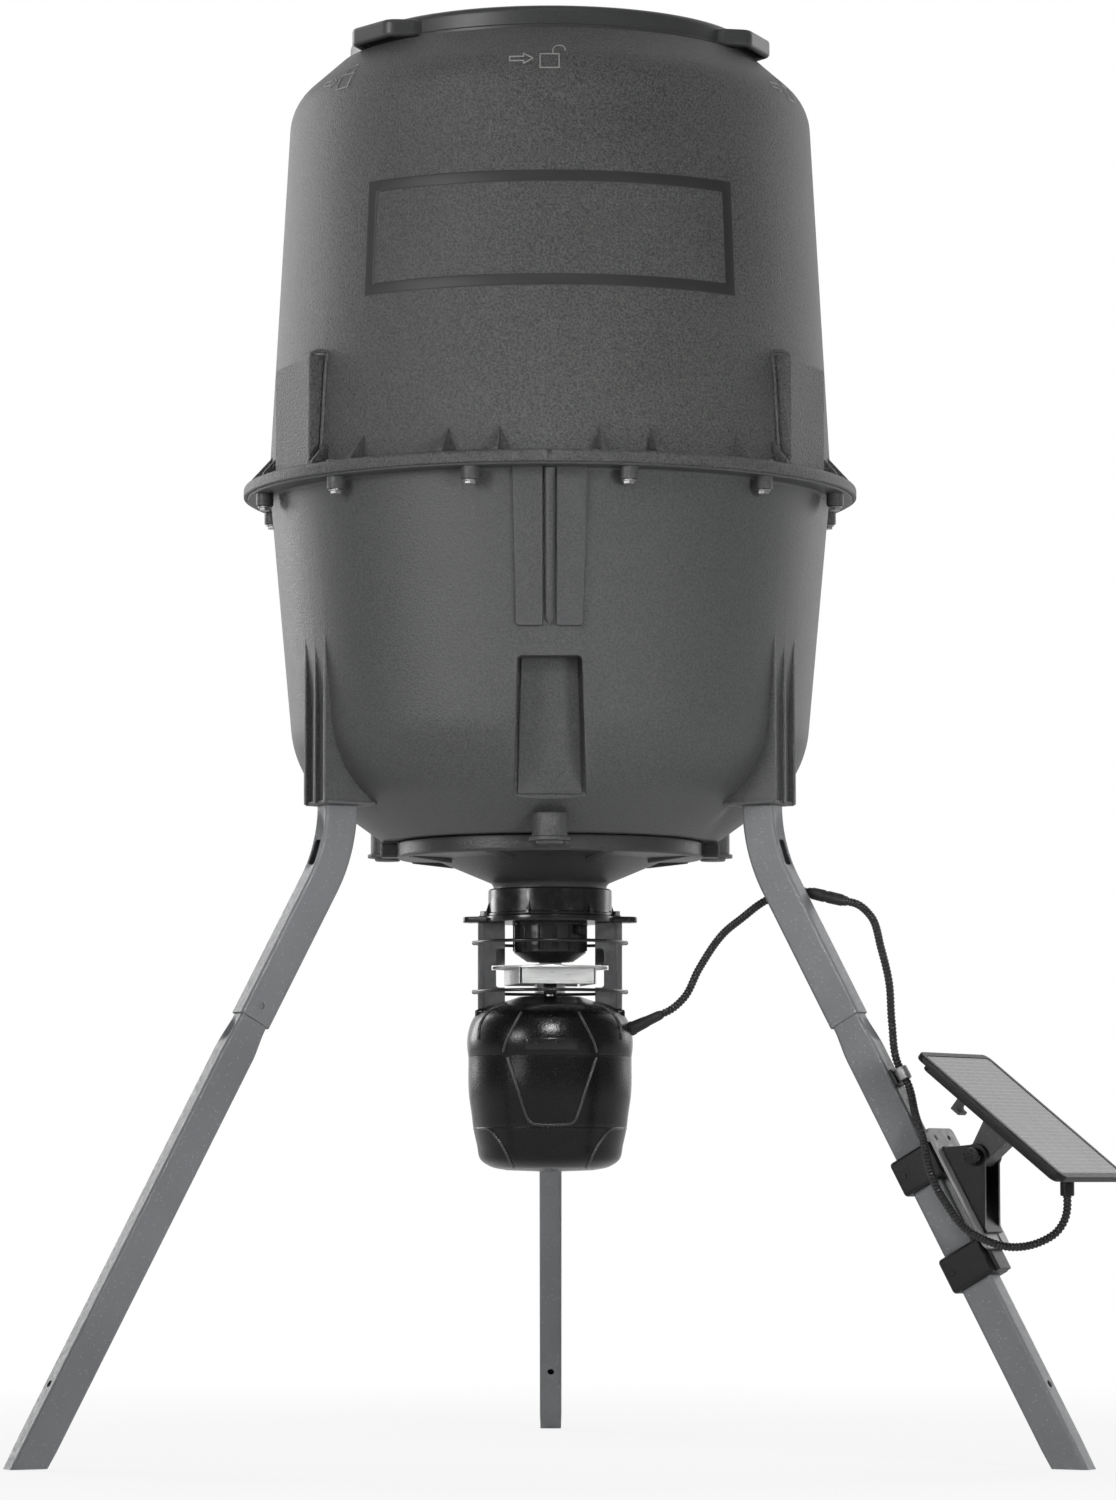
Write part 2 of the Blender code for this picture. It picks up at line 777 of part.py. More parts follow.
def outlet_funnel():
    low, high = FUNNEL_NECK_Z
    profile = [
        (FUNNEL_R, FUNNEL_TOP),
        (FUNNEL_R, FUNNEL_DISC_BOTTOM),
        (0.105, FUNNEL_DISC_BOTTOM - 0.0015),
        (FUNNEL_NECK_R, high),
        (FUNNEL_NECK_R, low),
        (FUNNEL_NECK_R - 0.0035, low),
        (FUNNEL_NECK_R - 0.0035, high + 0.0025),
        (0.102, 0.5525),
        (0.118, FUNNEL_TOP),
    ]
    funnel = turned("outlet_funnel", profile, DRUM_STEPS)
    tabs = []
    for side in (-1, 1):
        near = side * (FUNNEL_R - 0.004)
        far = side * 0.1575
        low = (min(near, far), -0.009, 0.551)
        high = (max(near, far), 0.009, 0.5645)
        tabs.append(box("funnel_tab", low, high))
    join(funnel, *tabs)
    make_part(funnel, BLACK)


# Legs


def tube_ring(place, across, half_wide, half_thick, corner, crease=0.0):
    """A rounded rectangle of points round a place on the leg's centre line; crease dents the outer face."""
    ring = []
    for sign_wide, sign_thick, start in ((1, 1, 0), (-1, 1, 90), (-1, -1, 180), (1, -1, 270)):
        for step in range(2):
            angle = math.radians(start + 90 * step)
            wide = sign_wide * (half_wide - corner) + corner * math.cos(angle)
            thick = sign_thick * (half_thick - corner) + corner * math.sin(angle)
            ring.append((wide, thick))
    dent = half_thick * 0.42
    ring += [(half_wide - crease, -dent), (half_wide - crease, dent)]
    return [place + across * wide + Vector((0, 1, 0)) * thick for wide, thick in ring]


def leg_stations():
    """Places and outward directions along an upper leg's centre line, and how far along the bend each is."""
    tangent = LEG_BEND_R * math.tan(LEG_LEAN / 2)
    centre = Vector((LEG_TOP_R + LEG_BEND_R, 0, LEG_VERTEX_Z + tangent))
    stations = [(Vector((LEG_TOP_R, 0, LEG_TOP_Z)), Vector((1, 0, 0)), 0.0)]
    for index in range(LEG_BEND_STEPS + 1):
        share = index / LEG_BEND_STEPS
        lean = LEG_LEAN * share
        across = Vector((math.cos(lean), 0, math.sin(lean)))
        stations.append((centre - across * LEG_BEND_R, across, share))
    across = stations[-1][1]
    stations.append((leg_point(UPPER_LEG_RUN), across, 1.0))
    return stations


def leg_station_at(height):
    """The place and outward direction where an upper leg's centre line is at a height."""
    stations = leg_stations()
    for (above, out, _), (below, out_below, _) in zip(stations, stations[1:]):
        if below.z <= height <= above.z:
            share = (above.z - height) / (above.z - below.z)
            return above.lerp(below, share), out.lerp(out_below, share).normalized()
    return stations[-1][0], stations[-1][1]


def leg_point(run, outward=0.0, sideways=0.0):
    """A place by its distance down the leaning leg from the bend's corner, and out of its outer face."""
    along = Vector((math.sin(LEG_LEAN), 0, -math.cos(LEG_LEAN)))
    across = Vector((math.cos(LEG_LEAN), 0, math.sin(LEG_LEAN)))
    corner = Vector((LEG_TOP_R, 0, LEG_VERTEX_Z))
    return corner + along * run + across * outward + Vector((0, sideways, 0))


def leg_run(height):
    """The distance down the leaning leg at which its centre line is at a height."""
    return (LEG_VERTEX_Z - height) / math.cos(LEG_LEAN)


def hollow_tube(name, sections, parent):
    """A tube skinned over (place, across, half sizes, crease) sections, outside and then inside."""
    outside = []
    inside = []
    for place, across, half_wide, half_thick, crease in sections:
        outside.append(tube_ring(place, across, half_wide, half_thick, LEG_CORNER, crease))
        thin = (half_wide - LEG_WALL, half_thick - LEG_WALL)
        inside.append(tube_ring(place, across, *thin, LEG_CORNER - LEG_WALL, crease))
    return loft(name, outside + inside[::-1], parent)


def legs():
    half_wide = LEG_WIDE / 2
    half_thick = LEG_THICK / 2
    across = Vector((math.cos(LEG_LEAN), 0, math.sin(LEG_LEAN)))
    neck = (half_wide - LEG_WALL - GAP, half_thick - LEG_WALL - GAP)
    joint = UPPER_LEG_RUN
    for side, azimuth in LEG_AZIMUTHS.items():
        parent = spun(azimuth)
        sections = []
        for place, out, share in leg_stations():
            crease = LEG_CREASE * max(0.0, 1 - abs(share - 0.5) / 0.36) if 0 < share < 1 else 0.0
            sections.append((place, out, half_wide, half_thick, crease))
        upper = hollow_tube(f"upper_leg_{side}", sections, parent)
        hole_at = joint - 0.014
        outside = leg_point(hole_at, 0.002, 0.03)
        inside = leg_point(hole_at, 0.002, 0.008)
        pin_hole = rod("pin_hole", outside, inside, PIN_HOLE_R, parent=parent)
        # An open slot in the outer narrow face, across the bend
        slot = []
        for height in LEG_SLOT_Z:
            place, out = leg_station_at(height)
            slot.append([place + out * (half_wide - LEG_WALL * 2.5), place + out * (half_wide + 0.004)])
        outline = [(p.x, p.z) for p in (slot[0][0], slot[0][1], slot[1][1], slot[1][0])]
        cut(upper, pin_hole, prism("leg_slot", outline, LEG_SLOT_HALF, parent))
        make_part(upper, LEG_STEEL)
        # The foot is cut level with the ground, so its last section lies flat
        flat = Vector((1 / math.cos(LEG_LEAN), 0, 0))
        foot = leg_point(leg_run(0.0))
        sections = [
            (leg_point(joint - SWAGE_INSERT), across, *neck, 0.0),
            (leg_point(joint + 0.002), across, *neck, 0.0),
            (leg_point(joint + SWAGE * 0.45), across, half_wide - 0.0012, half_thick - 0.0012, 0.0035),
            (leg_point(joint + SWAGE), across, half_wide, half_thick, 0.0),
            (foot, flat, half_wide, half_thick, 0.0),
        ]
        lower = hollow_tube(f"lower_leg_{side}", sections, parent)
        stake_at = leg_run(0.066)
        outside = leg_point(stake_at, -0.03)
        inside = leg_point(stake_at, 0.03)
        cut(lower, rod("stake_hole", outside, inside, PIN_HOLE_R, parent=parent))
        make_part(lower, LEG_STEEL)


# Feeder unit


def collar_and_plate():
    low, high = COLLAR_Z
    bore = FUNNEL_NECK_R + 0.0009
    profile = [(COLLAR_R, high), (COLLAR_R, low), (bore, low), (bore, high)]
    collar = turned("collar", profile, UNIT_STEPS)
    outline = [
        (COLLAR_R - 0.002, low + 0.0004),
        (COLLAR_RIB_R, low + 0.0004),
        (COLLAR_RIB_R, low + 0.004),
        (COLLAR_R - 0.002, high - 0.003),
    ]
    step = 360.0 / COLLAR_RIBS
    turns = [FRONT + COLLAR_RIB_TURN + step * index for index in range(COLLAR_RIBS)]
    ribs = [prism("collar_rib", outline, 0.0011, spun(turn)) for turn in turns]
    join(collar, *ribs)
    make_part(collar, GLOSS)
    low, high = PLATE_Z
    plate = rod("top_plate", (0, 0, low), (0, 0, high), PLATE_R, UNIT_STEPS)
    ears = box("plate_ears", (-PLATE_EAR, -PLATE_EAR_HALF, low), (PLATE_EAR, PLATE_EAR_HALF, high))
    add_bevel(ears, 0.003)
    join(plate, ears)
    holes = [rod("plate_mouth", (0, 0, low - 0.01), (0, 0, high + 0.01), NOZZLE_R - 0.0025, 20)]
    for side in (-1, 1):
        x = side * (PLATE_EAR - 0.007)
        holes.append(rod("ear_hole", (x, 0, low - 0.01), (x, 0, high + 0.01), 0.0028))
        x = side * PLATE_BOLT_X
        holes.append(rod("bolt_hole", (x, -0.002, low - 0.01), (x, -0.002, high + 0.01), 0.0028))
    cut(plate, *holes)
    make_part(plate, GLOSS)
    for name, side in (("left", -1), ("right", 1)):
        x = side * PLATE_BOLT_X
        bolt = rod(f"plate_bolt_{name}", (x, -0.002, high + GAP), (x, -0.002, high + 0.0052), 0.0046, 6)
        shank = rod("bolt_shank", (x, -0.002, low + 0.0006), (x, -0.002, high + 0.002), 0.0024, 6)
        join(bolt, shank)
        # The head is trimmed where the collar's ribs pass it
        cut(bolt, rod("collar_clearance", (0, 0, high), (0, 0, high + 0.01), COLLAR_R + GAP, UNIT_STEPS))
        make_part(bolt, ZINC)


def dome_wall():
    """The controller dome's outer wall, from its flat top to its rim."""
    return [
        (0.029, DOME_TOP),
        (0.037, DOME_TOP - 0.0028),
        (0.060, 0.4110),
        (0.0700, 0.4035),
        (0.0757, 0.3900),
        (0.0767, 0.3725),
        (0.0758, DOME_BOTTOM),
    ]


def straps_and_rings():
    near, far = STRAP_X
    low, high = STRAP_Z
    for name, side in (("left", -1), ("right", 1)):
        edges = sorted((side * near, side * far))
        strap = box(
            f"strap_{name}",
            (edges[0], -STRAP_HALF_Y, low),
            (edges[1], -STRAP_HALF_Y + STRAP_THICK, high),
        )
        edges = sorted((side * (far - STRAP_THICK), side * far))
        leaf = box("strap_leaf", (edges[0], -STRAP_HALF_Y, low), (edges[1], STRAP_HALF_Y, high))
        edges = sorted((side * near, side * far))
        rear = box(
            "strap_rear",
            (edges[0], STRAP_HALF_Y - STRAP_THICK, low),
            (edges[1], STRAP_HALF_Y, high),
        )
        join(strap, leaf, rear)
        edges = sorted((side * x for x in STRAP_NOTCH_X))
        notches = []
        for reach, heights in ((-0.03, STRAP_FRONT_NOTCH_Z), (0.03, STRAP_REAR_NOTCH_Z)):
            depths = sorted((reach, 0.002 * math.copysign(1, reach)))
            start = (edges[0], depths[0], heights[0])
            notches.append(box("strap_notch", start, (edges[1], depths[1], heights[1])))
        edges = sorted((side * x for x in STRAP_SLOT_X))
        start = (edges[0], -0.03, STRAP_SLOT_Z[0])
        notches.append(box("strap_slot", start, (edges[1], 0.03, STRAP_SLOT_Z[1])))
        over_dome = [(0.0, DOME_TOP + 0.0005), *inset(dome_wall(), -0.0005), (0.0, DOME_BOTTOM)]
        dome = turned("dome_clearance", over_dome, UNIT_STEPS)
        cut(strap, *notches, dome)
        make_part(strap, GLOSS)
    for name, height in RING_HEIGHTS.items():
        bpy.ops.mesh.primitive_torus_add(
            major_radius=RING_R, minor_radius=RING_WIRE, major_segments=24, minor_segments=6
        )
        ring = bpy.context.object
        ring.name = f"guard_ring_{name}"
        for collection in list(ring.users_collection):
            collection.objects.unlink(ring)
        ring.parent = ROOT
        ring.location = (0, 0, height)
        make_part(ring, GLOSS)


def nozzle_and_spinner():
    tip, waist, top = NOZZLE_Z
    profile = [
        (NOZZLE_R, top),
        (NOZZLE_R, waist),
        (NOZZLE_TIP_R, tip),
        (NOZZLE_TIP_R - 0.0024, tip),
        (NOZZLE_R - 0.0026, waist + 0.0008),
        (NOZZLE_R - 0.0026, top),
    ]
    nozzle = turned("nozzle", profile, UNIT_STEPS)
    azimuth = FRONT + 48.0
    inner = polar(NOZZLE_R - 0.006, azimuth, 0.4832)
    outer = polar(NOZZLE_R + 0.01, azimuth, 0.4832)
    cut(nozzle, rod("thumb_hole", inner, outer, 0.0024))
    make_part(nozzle, GLOSS)
    thumb = rod(
        "thumb_screw",
        polar(NOZZLE_R + GAP, azimuth, 0.4832),
        polar(NOZZLE_R + 0.0095, azimuth, 0.4832),
        0.0052,
    )
    shank_end = polar(NOZZLE_R + 0.003, azimuth, 0.4832)
    join(thumb, rod("thumb_shank", polar(NOZZLE_R - 0.0045, azimuth, 0.4832), shank_end, 0.002))
    make_part(thumb, ZINC)
    spinner = rod(
        "spinner_plate", (0, 0, SPINNER_TOP - SPINNER_SHEET), (0, 0, SPINNER_TOP), SPINNER_R, UNIT_STEPS
    )
    # Four flat vanes folded down round the hub, and a boss on top
    vanes = [rod("spinner_boss", (0, 0, SPINNER_TOP - SPINNER_SHEET / 2), (0, 0, HUB_Z[1]), HUB_R, 16)]
    for index in range(SPINNER_VANES):
        vane = box(
            "vane",
            (VANE_OUT - SPINNER_SHEET / 2, -VANE_HALF, SPINNER_BOTTOM),
            (VANE_OUT + SPINNER_SHEET / 2, VANE_HALF, SPINNER_TOP - SPINNER_SHEET / 2),
            spun(FRONT + VANE_TURN + 360.0 / SPINNER_VANES * index),
        )
        vanes.append(vane)
    join(spinner, *vanes)
    cut(spinner, rod("spinner_bore", (0, 0, SPINNER_BOTTOM), (0, 0, SPINNER_TOP + 0.01), SHAFT_R + GAP))
    make_part(spinner, ALUMINIUM)
    hub_top = SPINNER_TOP - SPINNER_SHEET - GAP
    hub = rod("spinner_hub", (0, 0, HUB_Z[0]), (0, 0, hub_top), HUB_R, 16)
    screw_z = HUB_Z[0] + SET_SCREW_R
    screw_end = polar(HUB_R + 0.003, FRONT, screw_z)
    join(hub, rod("set_screw", polar(HUB_R - 0.002, FRONT, screw_z), screw_end, SET_SCREW_R))
    cut(hub, rod("hub_bore", (0, 0, 0.42), (0, 0, 0.46), SHAFT_R + GAP))
    make_part(hub, BLACK)
    make_part(rod("motor_shaft", (0, 0, MOTOR_TOP + GAP), (0, 0, SPINNER_TOP + 0.002), SHAFT_R), ZINC)


# Controller


def controller():
    outer = dome_wall()
    inner = inset(outer, SHELL)
    profile = [
        (SHAFT_HOLE_R, DOME_TOP),
        *outer,
        (inner[-1][0], DOME_BOTTOM),
        *reversed(inner[1:-1:2]),
        (inner[0][0], DOME_TOP - SHELL),
        (SHAFT_HOLE_R, DOME_TOP - SHELL),
    ]
    dome = turned("controller_dome", profile, UNIT_STEPS)
    pads = []
    for side in (-1, 1):
        edges = sorted((side * 0.0405, side * 0.0695))
        pads.append(box("strap_pad", (edges[0], -0.0145, 0.4015), (edges[1], 0.0145, STRAP_Z[0] - GAP)))
    join(dome, *pads)
    along = (Vector(GLAND_END) - Vector(GLAND_START)).normalized()
    start = Vector(GLAND_START)
    bore = rod("gland_hole", start - along * 0.01, start + along * 0.03, GLAND_R[0] + GAP, 12)
    cut(dome, bore)
    make_part(dome, BLACK)

    low, high = DECK_Z
    make_part(rod("controller_deck", (0, 0, low), (0, 0, high), DECK_R, UNIT_STEPS), BLACK)
    make_part(rod("motor", (0, 0, high + GAP), (0, 0, MOTOR_TOP), MOTOR_R, 20), ZINC)

    outer = [
        (0.0758, CUP_TOP),
        (0.0752, 0.330),
        (0.0730, 0.3145),
        (0.0711, 0.2997),
        (0.0679, 0.2850),
        (0.0642, 0.2706),
        (0.0560, 0.2648),
        (0.0400, 0.2610),
    ]
    inner = inset(outer, SHELL)
    profile = [
        (0.0, CUP_BOTTOM + SHELL),
        (inner[-1][0], inner[-1][1]),
        *reversed(inner[1:-1:2]),
        (inner[0][0], CUP_TOP),
        *outer,
        (0.0, CUP_BOTTOM),
    ]
    make_part(turned("controller_cup", profile, UNIT_STEPS), BLACK)
    make_part(box("battery", *BATTERY, bevel=0.002), BATTERY_GREY)

    timer = box("timer_case", *TIMER, bevel=0.0015)
    face = TIMER[0][1]
    pockets = [
        rod("button_pocket", (x, face - 0.01, BUTTON_Z), (x, -BUTTON_POCKET, BUTTON_Z), BUTTON_R + GAP, 12)
        for x in BUTTON_X
    ]
    cut(timer, *pockets)
    make_part(timer, TIMER_GREY)
    half_x, half_z = DISPLAY_HALF
    display = box(
        "display", (-half_x, face - 0.0018, DISPLAY_Z - half_z), (half_x, face - GAP, DISPLAY_Z + half_z)
    )
    make_part(display, SCREEN)
    for number, x in enumerate(BUTTON_X, 1):
        button = rod(
            f"button_{number}", (0, BUTTON_Y[0], 0), (0, BUTTON_Y[1], 0), BUTTON_R, 12
        )
        button.location = (x, 0, BUTTON_Z)
        make_part(button, RUBBER)


# Solar panel and its bracket


def panel_place(a, m, t=0.0):
    """A place on the panel: a down its slope, m out of its face, t across; in the right leg's plane."""
    slope = Vector((math.cos(PANEL_SLOPE), 0, -math.sin(PANEL_SLOPE)))
    face = Vector((math.sin(PANEL_SLOPE), 0, math.cos(PANEL_SLOPE)))
    return Vector((PANEL_CENTRE[0], t, PANEL_CENTRE[1])) + slope * a + face * m


def in_leg_frame(name, low, high, parent, bevel=0.0):
    """A box by (run down the leg, sideways, out of the outer face) corners, on the leaning right leg."""
    obj = box(name, low, high, parent, bevel)
    along = Vector((math.sin(LEG_LEAN), 0, -math.cos(LEG_LEAN)))
    across = Vector((math.cos(LEG_LEAN), 0, math.sin(LEG_LEAN)))
    basis = Matrix((along, Vector((0, 1, 0)), across)).transposed().to_4x4()
    basis.translation = leg_point(0.0)
    obj.data.transform(basis)
    return obj


def bracket():
    parent = spun(LEG_AZIMUTHS["right"])
    runs = [leg_run(height) for height in BRACKET_BLOCKS]
    half = BLOCK_LENGTH / 2
    blocks = [
        in_leg_frame(
            "leg_bracket",
            (run - half, -BLOCK_HALF_T, BLOCK_N[0]),
            (run + half, BLOCK_HALF_T, BLOCK_N[1]),
            parent,
            bevel=0.002,
        )
        for run in runs
    ]
    rail = in_leg_frame(
        "rail", (runs[0] - half, -RAIL_HALF_T, RAIL_N[0]), (runs[1] + half, RAIL_HALF_T, RAIL_N[1]), parent
    )
    join(blocks[0], blocks[1], rail)
    clear_wide = LEG_WIDE / 2 + 0.0004
    clear_thick = LEG_THICK / 2 + 0.0004
    tube = in_leg_frame(
        "leg_clearance",
        (runs[0] - 0.1, -clear_thick, -clear_wide),
        (runs[1] + 0.1, clear_thick, clear_wide),
        parent,
    )
    cut(blocks[0], tube)
    make_part(blocks[0], BLACK)

    top, bottom = (leg_run(height) for height in BASE_Z)
    base = in_leg_frame(
        "base_plate", (top, -BASE_HALF_T, BASE_N[0]), (bottom, BASE_HALF_T, BASE_N[1]), parent
    )
    add_bevel(base, 0.001)
    holes = []
    for run in (top + 0.011, bottom - 0.011):
        for sideways in (-0.016, 0.016):
            near = leg_point(run, BASE_N[0] - 0.01, sideways)
            far = leg_point(run, BASE_N[1] + 0.01, sideways)
            holes.append(rod("plate_hole", near, far, 0.003, parent=parent))
    cut(base, *holes)
    make_part(base, BRACKET_STEEL)
    fork(parent, top, bottom)


def fork(parent, top, bottom):
    """Two cheeks with round ends at the pivot, on a foot against the base plate."""
    foot = in_leg_frame(
        "arm_fork",
        (top + 0.02, -CHEEK_T[1], FORK_FOOT_N[0]),
        (bottom - 0.014, CHEEK_T[1], FORK_FOOT_N[1]),
        parent,
    )
    root_high = leg_point(top + 0.0205, FORK_FOOT_N[0] + 0.0004)
    root_low = leg_point(bottom - 0.0145, FORK_FOOT_N[0] + 0.0004)
    pivot = Vector(PIVOT)
    outline = [(root_low.x, root_low.z)]
    outline += arc(PIVOT, CHEEK_ROUND, -35, 115, 6)
    outline.append((root_high.x, root_high.z))
    middle = (CHEEK_T[0] + CHEEK_T[1]) / 2
    thick = (CHEEK_T[1] - CHEEK_T[0]) / 2
    cheeks = [prism("cheek", outline, thick, parent, side * middle) for side in (-1, 1)]
    join(foot, *cheeks)
    bore = rod("fork_bore", (pivot.x, -0.04, pivot.y), (pivot.x, 0.04, pivot.y), PIVOT_R + GAP, parent=parent)
    cut(foot, bore)
    make_part(foot, BLACK)
    bolt = rod("pivot_bolt", (pivot.x, -0.0205, pivot.y), (pivot.x, 0.0215, pivot.y), PIVOT_R, 10, parent)
    knob = rod("pivot_knob", (pivot.x, -0.0245, pivot.y), (pivot.x, -0.0168, pivot.y), 0.0078, 8, parent)
    join(bolt, knob)
    make_part(bolt, ZINC)


def panel():
    """The tilting group, with its parent empty on the pivot's axis."""
    leg = spun(LEG_AZIMUTHS["right"])
    axis = new_empty("panel_tilt_axis", (PIVOT[0], 0, PIVOT[1]), parent=leg)
    to_axis = Matrix.Translation((-PIVOT[0], 0, -PIVOT[1]))
    slope = Vector((math.cos(PANEL_SLOPE), 0, -math.sin(PANEL_SLOPE)))
    face = Vector((math.sin(PANEL_SLOPE), 0, math.cos(PANEL_SLOPE)))
    basis = Matrix((slope, Vector((0, 1, 0)), face)).transposed().to_4x4()
    basis.translation = panel_place(0, 0)
    half_a, half_t = PANEL_HALF
    half_m = PANEL_THICK / 2

    def slab(name, low, high):
        obj = box(name, low, high, axis)
        obj.data.transform(to_axis @ basis)
        return obj

    tray = slab("panel_frame", (-half_a, -half_t, -half_m), (half_a, half_t, half_m))
    add_bevel(tray, 0.0025)
    boss_r, boss_t = PANEL_BOSS
    low = to_axis @ Vector((boss_r, boss_t, PANEL_BOSS_Z[0]))
    high = to_axis @ Vector((boss_r, boss_t, PANEL_BOSS_Z[1]))
    join(tray, rod("panel_boss", low, high, PANEL_BOSS_R, 12, axis))
    rim_a = half_a - PANEL_RIM
    rim_t = half_t - PANEL_RIM
    bed = half_m - GLASS - GAP
    cut(tray, slab("glass_bed", (-rim_a, -rim_t, bed), (rim_a, rim_t, half_m + 0.01)))
    make_part(tray, BLACK)
    rim_a -= GAP
    rim_t -= GAP
    glass = slab("panel_glass", (-rim_a, -rim_t, bed + GAP), (rim_a, rim_t, half_m - 0.0004))
    make_part(glass, CELLS)

    back = -half_m - GAP
    plate = slab("panel_yoke", (-0.060, -0.022, back - 0.003), (0.034, 0.022, back))
    pivot_a = (Vector((PIVOT[0], 0, PIVOT[1])) - panel_place(0, 0)).dot(slope)
    pivot_m = (Vector((PIVOT[0], 0, PIVOT[1])) - panel_place(0, 0)).dot(face)
    outline = [(pivot_a + 0.017, back - 0.0015)]
    outline += [(pivot_a - 0.017, back - 0.0015)]
    outline += arc((pivot_a, pivot_m), TONGUE_ROUND, 180, 360, 8)
    tongue = prism("tongue", outline, TONGUE_HALF_T, axis)
    tongue.data.transform(to_axis @ basis)
    hook_stem = slab("hook_stem", (-0.0575, -0.0075, back - 0.026), (-0.0535, 0.0075, back - 0.001))
    hook_tip = slab("hook_tip", (-0.0575, -0.0075, back - 0.026), (-0.0475, 0.0075, back - 0.0225))
    join(plate, tongue, hook_stem, hook_tip)
    cut(plate, rod("yoke_bore", (0, -0.04, 0), (0, 0.04, 0), PIVOT_R + GAP, parent=axis))
    make_part(plate, BRACKET_GREY)


# Cable


def smooth_route(points, spacing):
    """Evenly spaced places on a smooth curve through a route's points."""
    points = [Vector(point) for point in points]
    spans = [far - near for near, far in zip(points, points[1:])]
    headings = [spans[0].normalized()]
    for before, after in zip(spans, spans[1:]):
        blend = before.normalized() * after.length + after.normalized() * before.length
        headings.append(blend / (before.length + after.length))
    headings.append(spans[-1].normalized())
    fine = []
    for near, far, leave, arrive in zip(points, points[1:], headings, headings[1:]):
        reach = (far - near).length
        for step in range(24):
            s = step / 24
            place = near * (2 * s**3 - 3 * s**2 + 1) + far * (3 * s**2 - 2 * s**3)
            fine.append(place + leave * reach * (s**3 - 2 * s**2 + s) + arrive * reach * (s**3 - s**2))
    fine.append(points[-1])
    lengths = [0.0]
    for near, far in zip(fine, fine[1:]):
        lengths.append(lengths[-1] + (far - near).length)
    count = max(2, round(lengths[-1] / spacing))
    places = []
    index = 0
    for step in range(count + 1):
        want = lengths[-1] * step / count
        while index < len(fine) - 2 and lengths[index + 1] < want:
            index += 1
        share = (want - lengths[index]) / (lengths[index + 1] - lengths[index])
        places.append(fine[index].lerp(fine[index + 1], share))
    return places, lengths[-1]


def straight_end(place, heading):
    """The first places of a cable that leaves a face square to it."""
    return [place + heading * run for run in (CABLE_GAP, 0.0042, 0.008)]


def ribbed_cable(name, route, material):
    """A tube along a route, with two points of unlike radius for each rib and plain straight ends."""
    places, length = smooth_route(route, RIB_PITCH / 2)
    curve = bpy.data.curves.new(name, "CURVE")
    curve.dimensions = "3D"
    curve.bevel_depth = CABLE_R
    curve.bevel_resolution = 2
    curve.use_fill_caps = True
    spline = curve.splines.new("POLY")
    spline.points.add(len(places) - 1)
    for index, (point, place) in enumerate(zip(spline.points, places)):
        point.co = (*place, 1.0)
        point.radius = RIB_DEPTH if index % 2 else 1.0
    make_part(new_object(name, curve_mesh(name, curve)), material)
    print(f"{name}: {length:.3f} m along its route")


def leg_world(run, outward, sideways):
    """A place on the right leg, turned to the hopper's frame."""
    turn = Matrix.Rotation(math.radians(LEG_AZIMUTHS["right"]), 3, "Z")
    return turn @ leg_point(run, outward, sideways)


def cable():
    start = Vector(GLAND_START)
    end = Vector(GLAND_END)
    along = (end - start).normalized()
    make_part(rod("cable_gland", start, end, GLAND_R[0], 12, end_radius=GLAND_R[1]), RUBBER)

    joint_start, joint_end = (Vector(place) for place in CONNECTOR_ENDS)
    joint_along = (joint_end - joint_start).normalized()
    make_part(rod("cable_connector", joint_start, joint_end, CONNECTOR_R, 12), RUBBER)

    route = [*straight_end(end, along), *LEAD_TO_LEG, *reversed(straight_end(joint_start, -joint_along))]
    ribbed_cable("cable_lead_a", route, CABLE)

    clip_run = leg_run(CLIP_Z)
    clip_shifts = (-0.0095, 0.0, 0.0095)
    clip_places = [leg_world(clip_run + shift, CLIP_N, CLIP_T) for shift in clip_shifts]
    meeting = Vector(LOOP_START)
    heading = (Vector(LOOP_TO_PANEL[0]) - Vector(LEAD_PAST_BRACKET[-1])).normalized()
    route = [*straight_end(joint_end, joint_along), *LEAD_DOWN_LEG, *clip_places, *LEAD_PAST_BRACKET]
    route += reversed(straight_end(meeting, -heading))
    ribbed_cable("cable_lead_b", route, CABLE)

    parent = spun(LEG_AZIMUTHS["right"])
    face = LEG_WIDE / 2 + GAP
    clip = in_leg_frame(
        "cable_clip",
        (clip_run - 0.008, CLIP_T - 0.008, face),
        (clip_run + 0.008, CLIP_T + 0.008, CLIP_N + 0.0062),
        parent,
        bevel=0.0025,
    )
    bore = rod(
        "clip_bore",
        leg_point(clip_run - 0.02, CLIP_N, CLIP_T),
        leg_point(clip_run + 0.02, CLIP_N, CLIP_T),
        CABLE_R + 0.0009,
        12,
        parent,
    )
    cut(clip, bore)
    make_part(clip, BLACK)

    turn = Matrix.Rotation(math.radians(LEG_AZIMUTHS["right"]), 3, "Z")
    boss = turn @ Vector((PANEL_BOSS[0], PANEL_BOSS[1], PANEL_BOSS_Z[0]))
    route = [*straight_end(meeting, heading), *LOOP_TO_PANEL]
    route += reversed(straight_end(boss, Vector((0, 0, -1))))
    ribbed_cable("cable_loop", route, CABLE)


clear_scene()
PARTS = new_collection("spin_cast_feeder", False)
CUTTERS = new_collection("feeder_cutters", True)
ROOT = new_empty("hopper_axis", (AXIS_X, AXIS_Y, 0))
SHAPING = bpy.data.scenes.new("shaping")

